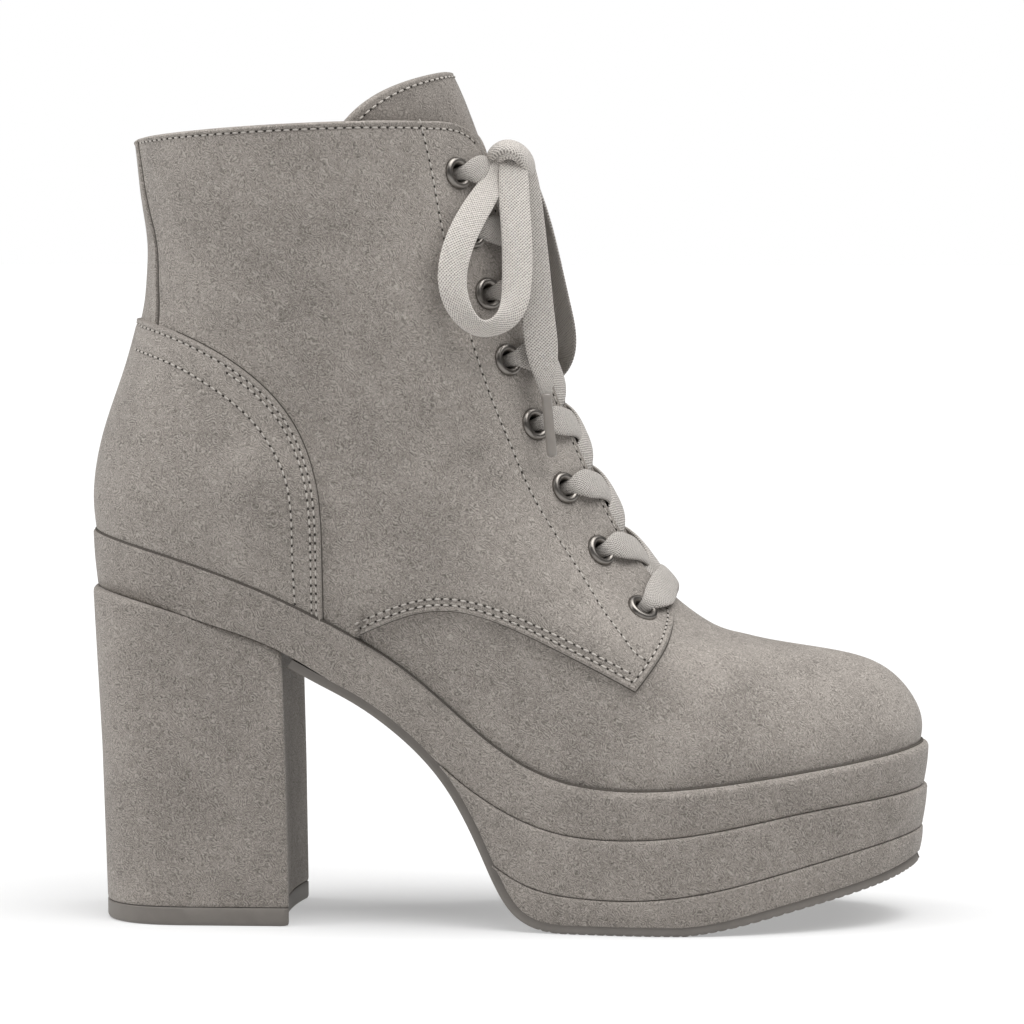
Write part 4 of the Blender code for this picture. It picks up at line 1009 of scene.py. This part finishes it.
# Sock on the board inside.
rings = []
for inset, height in ((None, 0.4), (2.9, 0.4), (2.7, 0.9), (2.9, 1.9), (3.6, 2.4), (8.0, 2.5), (None, 2.2)):
    plan = spine(around) if inset is None else sole_edge(around, -inset)
    rings.append(np.column_stack((plan, feather(plan[:, 0]) + height)))
dress(body("inner_sock", rings), LINING, "lining", "insole")

# Eyelets: one turned ring with a domed rim, copied to each place.
dome = np.linspace(math.pi * 0.94, 0, 13)
turned = [(EYELET_HOLE, -3.0), (EYELET_HOLE, -1.2)]
turned += [(3.6 + 1.1 * math.cos(t), -0.1 + 1.35 * math.sin(t)) for t in dome]
turned += [(EYELET_RIM - 0.15, -0.3), (3.0, -0.35), (3.0, -3.0), (EYELET_HOLE, -3.0)]
spin = np.linspace(0, 2 * math.pi, 41)
ring_model = np.array([np.column_stack((radius * np.cos(spin), radius * np.sin(spin), np.full(len(spin), height)))
                       for radius, height in turned])
for index, (place, out) in enumerate(eyelet_axes):
    side_name, node = ("outer", "lateral") if index < len(EYELETS) else ("inner", "medial")
    number = index % len(EYELETS) + 1
    turn = np.array(Vector(out).to_track_quat("Z", "Y").to_matrix())
    eyelet = body(f"eyelet_ring_{side_name}_{number}", ring_model @ turn.T + place)
    dress(eyelet, GUNMETAL, "gunmetal", f"eyelet_{node}_{number}", sharp=50)


# Laces.
def ribbon(name, middle, out, width, thick=LACE_THICK, arch=0.3, sides=22):
    """Flat woven lace along a line of places, closed all round, its weave laid out in millimetres."""
    count = len(middle)
    width, thick = np.broadcast_to(width, count), np.broadcast_to(thick, count)
    tangent = unit(np.gradient(middle, axis=0))
    out = unit(out - np.sum(out * tangent, axis=1)[:, None] * tangent)
    edge = np.cross(tangent, out)
    turn = np.linspace(2 * math.pi, 0, sides + 1)
    across = np.sign(np.cos(turn)) * np.abs(np.cos(turn)) ** 0.6
    up = np.sign(np.sin(turn)) * np.abs(np.sin(turn)) ** 0.8
    rise = thick[:, None] / 2 * up - arch * (across ** 2 - 0.4)
    beside = width[:, None] / 2 * across
    obj = sheet(name, middle[:, None] + edge[:, None] * beside[..., None] + out[:, None] * rise[..., None])
    woven_at = np.broadcast_arrays(across * LACE_WIDTH / 2 + 20.0, run_along(middle)[:, None])
    weave = np.stack(woven_at, axis=-1).reshape(-1, 2)
    corner = np.empty(len(obj.data.loops), np.int32)
    obj.data.loops.foreach_get("vertex_index", corner)
    obj.data.uv_layers.active.data.foreach_set("uv", weave[corner].astype(np.float32).ravel())
    weld(obj, close=True)
    return obj


def smooth_run(stops, spacing=0.7, soft=0):
    """Smooth line through stops of place, facing, width and thickness, each given along it."""
    table = np.array([np.concatenate((place, out, [width, thick])) for place, out, width, thick in stops])
    run = run_along(table[:, :3])
    row = spline(run, table)(np.linspace(0, run[-1], max(8, int(run[-1] / spacing))))
    if soft:
        weight = np.hanning(2 * soft + 3)[1:-1]
        padded = np.pad(row, ((soft, soft), (0, 0)), "edge")
        row = np.stack([np.convolve(column, weight / weight.sum(), "valid") for column in padded.T], axis=-1)
    return row[:, :3], row[:, 3:6], row[:, 6], row[:, 7]


def out_of_hole(number, side, dx, dz, wide=7.4):
    """Stops where the lace leaves an eyelet and spreads over its rim, heading dx and dz in the side view."""
    level, angle = eyelet_spots[number]
    place, out = skin(level, angle * side, QUARTER_LIFT), last_normal(level, angle * side)
    ahead_level, ahead_angle = locate(*(EYELETS[number] + (dx, dz))[:, None])[0]
    towards = skin(ahead_level, ahead_angle * side, QUARTER_LIFT) - place
    towards = unit(towards - out * (towards @ out))
    return [(place - out * 3.6 + towards * 0.9, -towards, 3.4, 2.0),
            (place - out * 0.8 + towards * 1.3, out * 0.3 - towards, 3.8, 2.0),
            (place + out * 1.2 + towards * 2.7, out - towards * 0.5, wide * 0.7, 2.0),
            (place + out * 1.75 + towards * 5.0, out, wide, 1.6)]


def over(level, angle, side, height, width=8.4):
    """Stop where the lace lies over the upper at a height."""
    return skin(level, angle * side, height), last_normal(level, angle * side), width, LACE_THICK


front_levels = np.linspace(6.0, COLLAR_LEVEL, 200)
front_heights = last_point(front_levels, np.full(200, math.pi))[:, 2]
facing_heights = on_panel(facing, 0.0)[:, 2]
lacing = []
for number in range(1, 7):
    z = EYELETS[number, 1]
    near = throat_angle(np.interp(z, facing_heights, facing[:, 0]))
    on_rim, above, low, below = np.interp((z - 0.6, z - 8.0, z - 10.5, z - 12.5), facing_heights, facing[:, 0])
    far = 2 * math.pi - throat_angle(low)
    for side, middle_height in ((1, 0.9), (-1, 2.4)):
        stops = out_of_hole(number, side, 6.0, 0.6)
        stops += [over(on_rim, near - 0.06, side, 2.8), over(on_rim, near + 0.04, side, 2.4),
                  over(np.interp(z - 5.0, front_heights, front_levels), math.pi, side, middle_height),
                  over(above, far - 0.10, side, (middle_height + 1.0) / 2),
                  over(low, far - 0.02, side, 0.7), over(below, far + 0.13, side, -2.2, 8.0)]
        lacing.append(ribbon("band", *smooth_run(stops, soft=4)))
outer_stops, inner_stops = (out_of_hole(7, side, 5.6, 2.9, 6.8) for side in (1, -1))
bar_stops = outer_stops + [over(6.42, math.pi, 1, 3.2, 7.8)] + inner_stops[::-1]
lacing.append(ribbon("bar", *smooth_run(bar_stops, soft=3)))
first_level, second_level = eyelet_spots[:2, 0]
for side, height in ((1, 0.8), (-1, 2.0)):
    near, far = throat_angle(second_level + 0.1), 2 * math.pi - throat_angle(first_level - 0.1)
    stops = [over(second_level + 0.06, near - 0.12, side, -2.2), over(second_level + 0.12, near + 0.05, side, 0.2),
             over((first_level + second_level) / 2, math.pi, side, height),
             over(first_level - 0.12, far - 0.05, side, 0.2), over(first_level - 0.06, far + 0.12, side, -2.2)]
    lacing.append(ribbon("cross", *smooth_run(stops)))
for side in (1, -1):
    stops = out_of_hole(0, side, 6.0, 0.4)
    gather = np.array((-1.0, -9.4, 214.8) if side > 0 else (1.6, -6.5, 215.2))
    face_way = np.array((0.1, -1.0, 0.3) if side > 0 else (0.9, 0.3, 0.2))
    bulge = (stops[-1][0] + gather) / 2 + np.array((0.0, -0.6, -0.5) if side > 0 else (3.4, 1.0, 0.0))
    stops += [(bulge, face_way, 9.0, 1.6), (gather, face_way, 6.4, 2.0)]
    lacing.append(ribbon("top", *smooth_run(stops)))
lacing = joined("crossed_lacing", lacing)
# The crossings take the darker copy of the lace: painted shade.
dress(lacing, SHADED_LACE, "lace", "lace_crossings", sharp=60)

# The bow hangs free. x, y and z along each strip, its width, and where its face looks.
LOOP_OUTER = np.array((
    (-1.6, -13.4, 217.0, 4.6, 0.2, -1.0, 0.5), (-3.6, -16.4, 211.8, 6.2, 0.2, -1.0, 0.4),
    (-7.3, -23.6, 204.6, 7.8, 0.2, -1.0, 0.3), (-12.1, -33.0, 194.5, 8.4, 0.2, -1.0, 0.2),
    (-14.3, -37.5, 184.0, 8.2, 0.2, -1.0, 0.0), (-12.8, -38.6, 176.2, 7.2, 0.15, -0.9, -0.4),
    (-6.6, -36.8, 169.4, 5.8, 0.1, -0.8, -0.6), (0.6, -32.6, 172.4, 7.0, 0.1, -0.9, -0.35),
    (3.0, -28.2, 181.2, 8.4, 0.2, -1.0, 0.0), (2.7, -23.4, 195.5, 8.8, 0.25, -1.0, 0.1),
    (1.7, -18.6, 207.5, 8.8, 0.25, -1.0, 0.2), (1.4, -15.4, 214.4, 8.0, 0.25, -1.0, 0.5),
    (1.2, -12.8, 217.6, 6.6, 0.2, -1.0, 0.8)))
LOOP_INNER = np.array((
    (4.4, -4.0, 215.6, 6.0, 0.9, 0.2, 0.3), (7.6, 1.4, 206.0, 7.6, 0.9, 0.35, 0.2),
    (10.8, 7.6, 191.0, 8.4, 0.8, 0.5, 0.2), (13.4, 14.4, 175.0, 8.6, 0.7, 0.7, 0.1),
    (14.4, 20.6, 162.6, 8.0, 0.5, 0.8, -0.2), (10.4, 28.4, 154.6, 6.6, 0.4, 0.8, -0.5),
    (2.6, 34.0, 153.8, 6.2, 0.35, 0.8, -0.5), (-5.0, 36.6, 162.0, 7.4, 0.3, 0.9, -0.3),
    (-8.6, 35.0, 178.0, 8.4, 0.4, 0.9, 0.0), (-8.0, 28.4, 194.0, 8.4, 0.45, 0.9, 0.1),
    (-5.6, 20.0, 206.0, 8.0, 0.45, 0.9, 0.2), (-2.6, 10.6, 213.6, 6.4, 0.45, 0.9, 0.3),
    (0.0, 0.0, 217.0, 5.0, 0.4, 0.7, 0.6)))
END_OUTER = np.array((
    (3.8, -11.4, 216.6, 6.0, 0.4, -0.92, 0.4), (5.0, -13.6, 209.6, 7.6, 0.4, -0.92, 0.2),
    (5.9, -15.6, 200.5, 8.8, 0.4, -0.92, 0.1), (7.5, -18.6, 185.0, 9.3, 0.35, -0.94, 0.1),
    (8.9, -21.4, 171.0, 9.6, 0.3, -0.95, 0.1), (10.2, -24.1, 160.0, 8.4, 0.25, -0.95, 0.1),
    (11.1, -26.1, 151.6, 3.6, 0.2, -0.97, 0.1), (11.6, -26.9, 147.0, 2.4, 0.2, -0.97, 0.1),
    (13.0, -28.2, 133.4, 2.4, 0.2, -0.97, 0.1)))
END_INNER = np.array((
    (2.6, -2.4, 215.6, 5.6, 0.45, 0.9, 0.3), (3.4, 6.6, 207.6, 7.4, 0.45, 0.9, 0.1),
    (4.2, 14.8, 197.0, 8.4, 0.45, 0.9, 0.1), (4.6, 20.0, 184.0, 8.6, 0.45, 0.9, 0.1),
    (5.6, 23.8, 170.0, 8.6, 0.45, 0.9, 0.1), (7.2, 26.2, 160.0, 7.4, 0.4, 0.9, 0.1),
    (8.0, 27.9, 153.0, 3.4, 0.3, 0.95, 0.1), (8.4, 28.5, 148.6, 2.4, 0.3, 0.95, 0.1),
    (9.8, 29.2, 135.4, 2.4, 0.3, 0.95, 0.1)))


def hanging(name, table, node, finish=SHADED_LACE):
    """Strip of the bow, and the line that it follows."""
    stops = [(row[:3], row[4:7], row[3], 1.35 if row[3] > 5 else 2.0) for row in table]
    middle, out, width, thick = smooth_run(stops)
    obj = ribbon(name, middle, out, width, thick, arch=0.25)
    dress(obj, finish, "lace", node, sharp=60)
    return obj, middle


def tip_sleeve(name, middle, node):
    """Plastic sleeve pressed round the end of the lace, a little waisted, with a crimp line."""
    from_end = np.array((17.6, 17.5, 17.2, 16.4, 15.6, 13.0, 9.0, 5.0, 1.6, 0.6, 0.1, -0.2))
    radius = np.array((0.7, 1.35, 1.55, 1.6, 1.45, 1.4, 1.42, 1.42, 1.45, 1.4, 1.15, 0.4))
    axis = unit(middle[-1] - middle[-14])
    out = unit(np.cross(axis, (0.0, 1.0, 0.2)))
    turn = np.linspace(0, 2 * math.pi, 25)[:, None]
    round_axis = out * np.cos(turn) + np.cross(axis, out) * np.sin(turn)
    rings = [middle[-1] - axis * back + round_axis * r for back, r in zip(from_end, radius)]
    return dress(body(name, rings), TIP_PLASTIC, "aglet", node, sharp=70)


# The outer loop and the knot take the plain lace. The inner loop and the ends take the darker copy, as painted shade.
outer_loop, outer_loop_line = hanging("bow_loop_outer", LOOP_OUTER, "lace_loop_lateral", LACE)
inner_loop, inner_loop_line = hanging("bow_loop_inner", LOOP_INNER, "lace_loop_medial")
outer_end, outer_end_line = hanging("bow_end_outer", END_OUTER, "lace_end_lateral")
inner_end, inner_end_line = hanging("bow_end_inner", END_INNER, "lace_end_medial")
outer_tip = tip_sleeve("lace_tip_outer", outer_end_line, "aglet_lateral")
inner_tip = tip_sleeve("lace_tip_inner", inner_end_line, "aglet_medial")

# Knot: a wrap over the top, a second turn in front of it, and the gathered lace inside.
WRAP = np.array((
    (-4.6, -9.4, 214.6, 4.6, -1.0, -0.2, 0.0), (-5.0, -12.0, 217.2, 5.4, -0.9, -0.4, 0.5),
    (-3.2, -14.2, 219.3, 6.2, -0.4, -0.5, 0.9), (-0.6, -15.0, 220.1, 6.6, 0.0, -0.5, 1.0),
    (2.2, -14.9, 219.3, 6.6, 0.5, -0.5, 0.8), (4.6, -13.8, 216.8, 6.6, 0.9, -0.5, 0.4),
    (5.6, -12.0, 213.6, 6.2, 1.0, -0.4, 0.0), (5.2, -9.2, 210.8, 5.4, 1.0, -0.2, -0.4)))
FRONT_TURN = np.array((
    (-3.2, -12.4, 216.0, 3.4, -0.4, -0.9, 0.3), (-2.2, -15.0, 217.6, 3.8, -0.2, -0.8, 0.6),
    (0.0, -16.2, 218.4, 4.0, 0.0, -0.8, 0.7), (2.4, -15.8, 217.8, 4.0, 0.3, -0.8, 0.5),
    (4.0, -13.8, 215.8, 3.8, 0.5, -0.8, 0.2)))
GATHER = np.array((
    (-2.8, -6.0, 214.6, 6.0, 0.0, -0.3, 1.0), (-1.0, -8.4, 216.4, 7.0, 0.0, -0.3, 1.0),
    (1.6, -9.0, 217.0, 7.6, 0.2, -0.3, 1.0), (3.4, -8.0, 215.6, 7.0, 0.6, -0.3, 0.8),
    (4.2, -5.6, 213.2, 6.0, 1.0, 0.0, 0.3)))
turns = []
for name, table, thick in (("wrap", WRAP, 2.6), ("front_turn", FRONT_TURN, 2.2), ("gather", GATHER, 5.0)):
    middle, out, width, _ = smooth_run([(row[:3], row[4:7], row[3], thick) for row in table], 0.5)
    turns.append(ribbon(name, middle, out, width, thick, arch=0.5))
knot = dress(joined("bow_knot", turns), LACE, "lace", "lace_knot", sharp=60)


# Stitch rows: one stitch and one dark dot for its needle hole, painted shade of the hole, copied along each row.
def laid(line, lift, side, count):
    """Close places along a line on a panel, and the outward normals there."""
    dense = along(line, np.linspace(0, 1, count))
    return on_panel(dense, lift, side), last_normal(dense[:, 0], dense[:, 1] * side)


def even_frames(places, normals):
    """Places, headings and outward normals at even steps along a row, two steps to a stitch."""
    run = run_along(places)
    count = 2 * max(2, int(run[-1] / STITCH_PITCH))
    at = (np.arange(count) + 0.5) * run[-1] / count
    ahead = read_at(at + 0.4, run, places) - read_at(at - 0.4, run, places)
    return read_at(at, run, places), ahead, read_at(at, run, normals)


frames = [even_frames(*laid(line, lift - STITCH_SINK, side, 600))
          for lift, rows in ((QUARTER_LIFT, quarter_rows), (COUNTER_LIFT, counter_rows))
          for side in (1, -1) for line in rows]
frames.append(even_frames(*tongue_place(np.full(400, 0.965), np.linspace(-0.93, 0.93, 400), -STITCH_SINK)))


def copied(name, half_sizes, ring_count, chosen):
    """One joined mesh of a small rounded shape at the chosen steps of every row."""
    spin = np.linspace(0, 2 * math.pi, 9)
    model = body("model", [np.column_stack((np.full(len(spin), math.cos(turn)), math.sin(turn) * np.cos(spin),
                                            math.sin(turn) * np.sin(spin)))
                           for turn in np.linspace(0, math.pi, ring_count + 1)])
    shape = np.array([v.co for v in model.data.vertices]) / MM * half_sizes
    faces = [tuple(p.vertices) for p in model.data.polygons]
    bpy.data.objects.remove(model, do_unlink=True)
    points, all_faces = [], []
    for places, ahead, out in frames:
        for place, forward, normal in zip(places[chosen], unit(ahead[chosen]), out[chosen]):
            beside = unit(np.cross(normal, forward))
            base = len(points) * len(shape)
            points.append(place + shape @ np.array((forward, beside, np.cross(forward, beside))))
            all_faces += [tuple(base + i for i in face) for face in faces]
    mesh = bpy.data.meshes.new(name)
    mesh.from_pydata((np.concatenate(points) * MM).tolist(), [], all_faces)
    obj = bpy.data.objects.new(name, mesh)
    bpy.context.scene.collection.objects.link(obj)
    return obj


for name, half_sizes, ring_count, first_step, finish, slot in (
        ("stitching", (0.86, 0.30, 0.28), 6, 0, THREAD, "lace"),
        # the needle holes are dark dots on the surface: painted shade of the holes
        ("needle_hole_shades", (0.38, 0.31, 0.2), 4, 1, NEEDLE_HOLE_SHADE, "suede")):
    marks = copied(name, half_sizes, ring_count, slice(first_step, None, 2))
    weld(marks, close=True)
    dress(marks, finish, slot, sharp=80)


# Painted shade: thin dark lines laid where an edge meets the piece under it, in place of the shadow in the seam.
def painted_shade_line(places, normals, radius):
    """Thin round dark line laid in the corner of an edge, as painted shade."""
    return ribbon("gap", places, normals, 2 * radius, 2 * radius, arch=0.0, sides=8)


counter_rim = np.concatenate((half_counter[8:, -1], half_counter[-1, -2:20:-1]))
seam_and_tab = np.concatenate((seam[3:], tab[1:]))
shade_lines = [painted_shade_line(*laid(line, lift, side, 400), radius) for side in (1, -1)
        for line, lift, radius in ((counter_rim, QUARTER_LIFT + 0.05, 0.2), (seam_and_tab, 0.0, 0.3),
                                   (beside_strip, QUARTER_LIFT - 0.1, 0.42))]
foot_line = sole_edge(around, panel_foot(bare_point(0.0, around)[:, 0]) + 0.1)
foot_line = np.column_stack((foot_line, feather(foot_line[:, 0]) + 0.25))
shade_lines.append(painted_shade_line(foot_line, np.broadcast_to((0.0, 0.0, 1.0), foot_line.shape), 0.45))
dress(joined("painted_seam_shades", shade_lines), PAINTED_SEAM_SHADE, "suede", sharp=80)
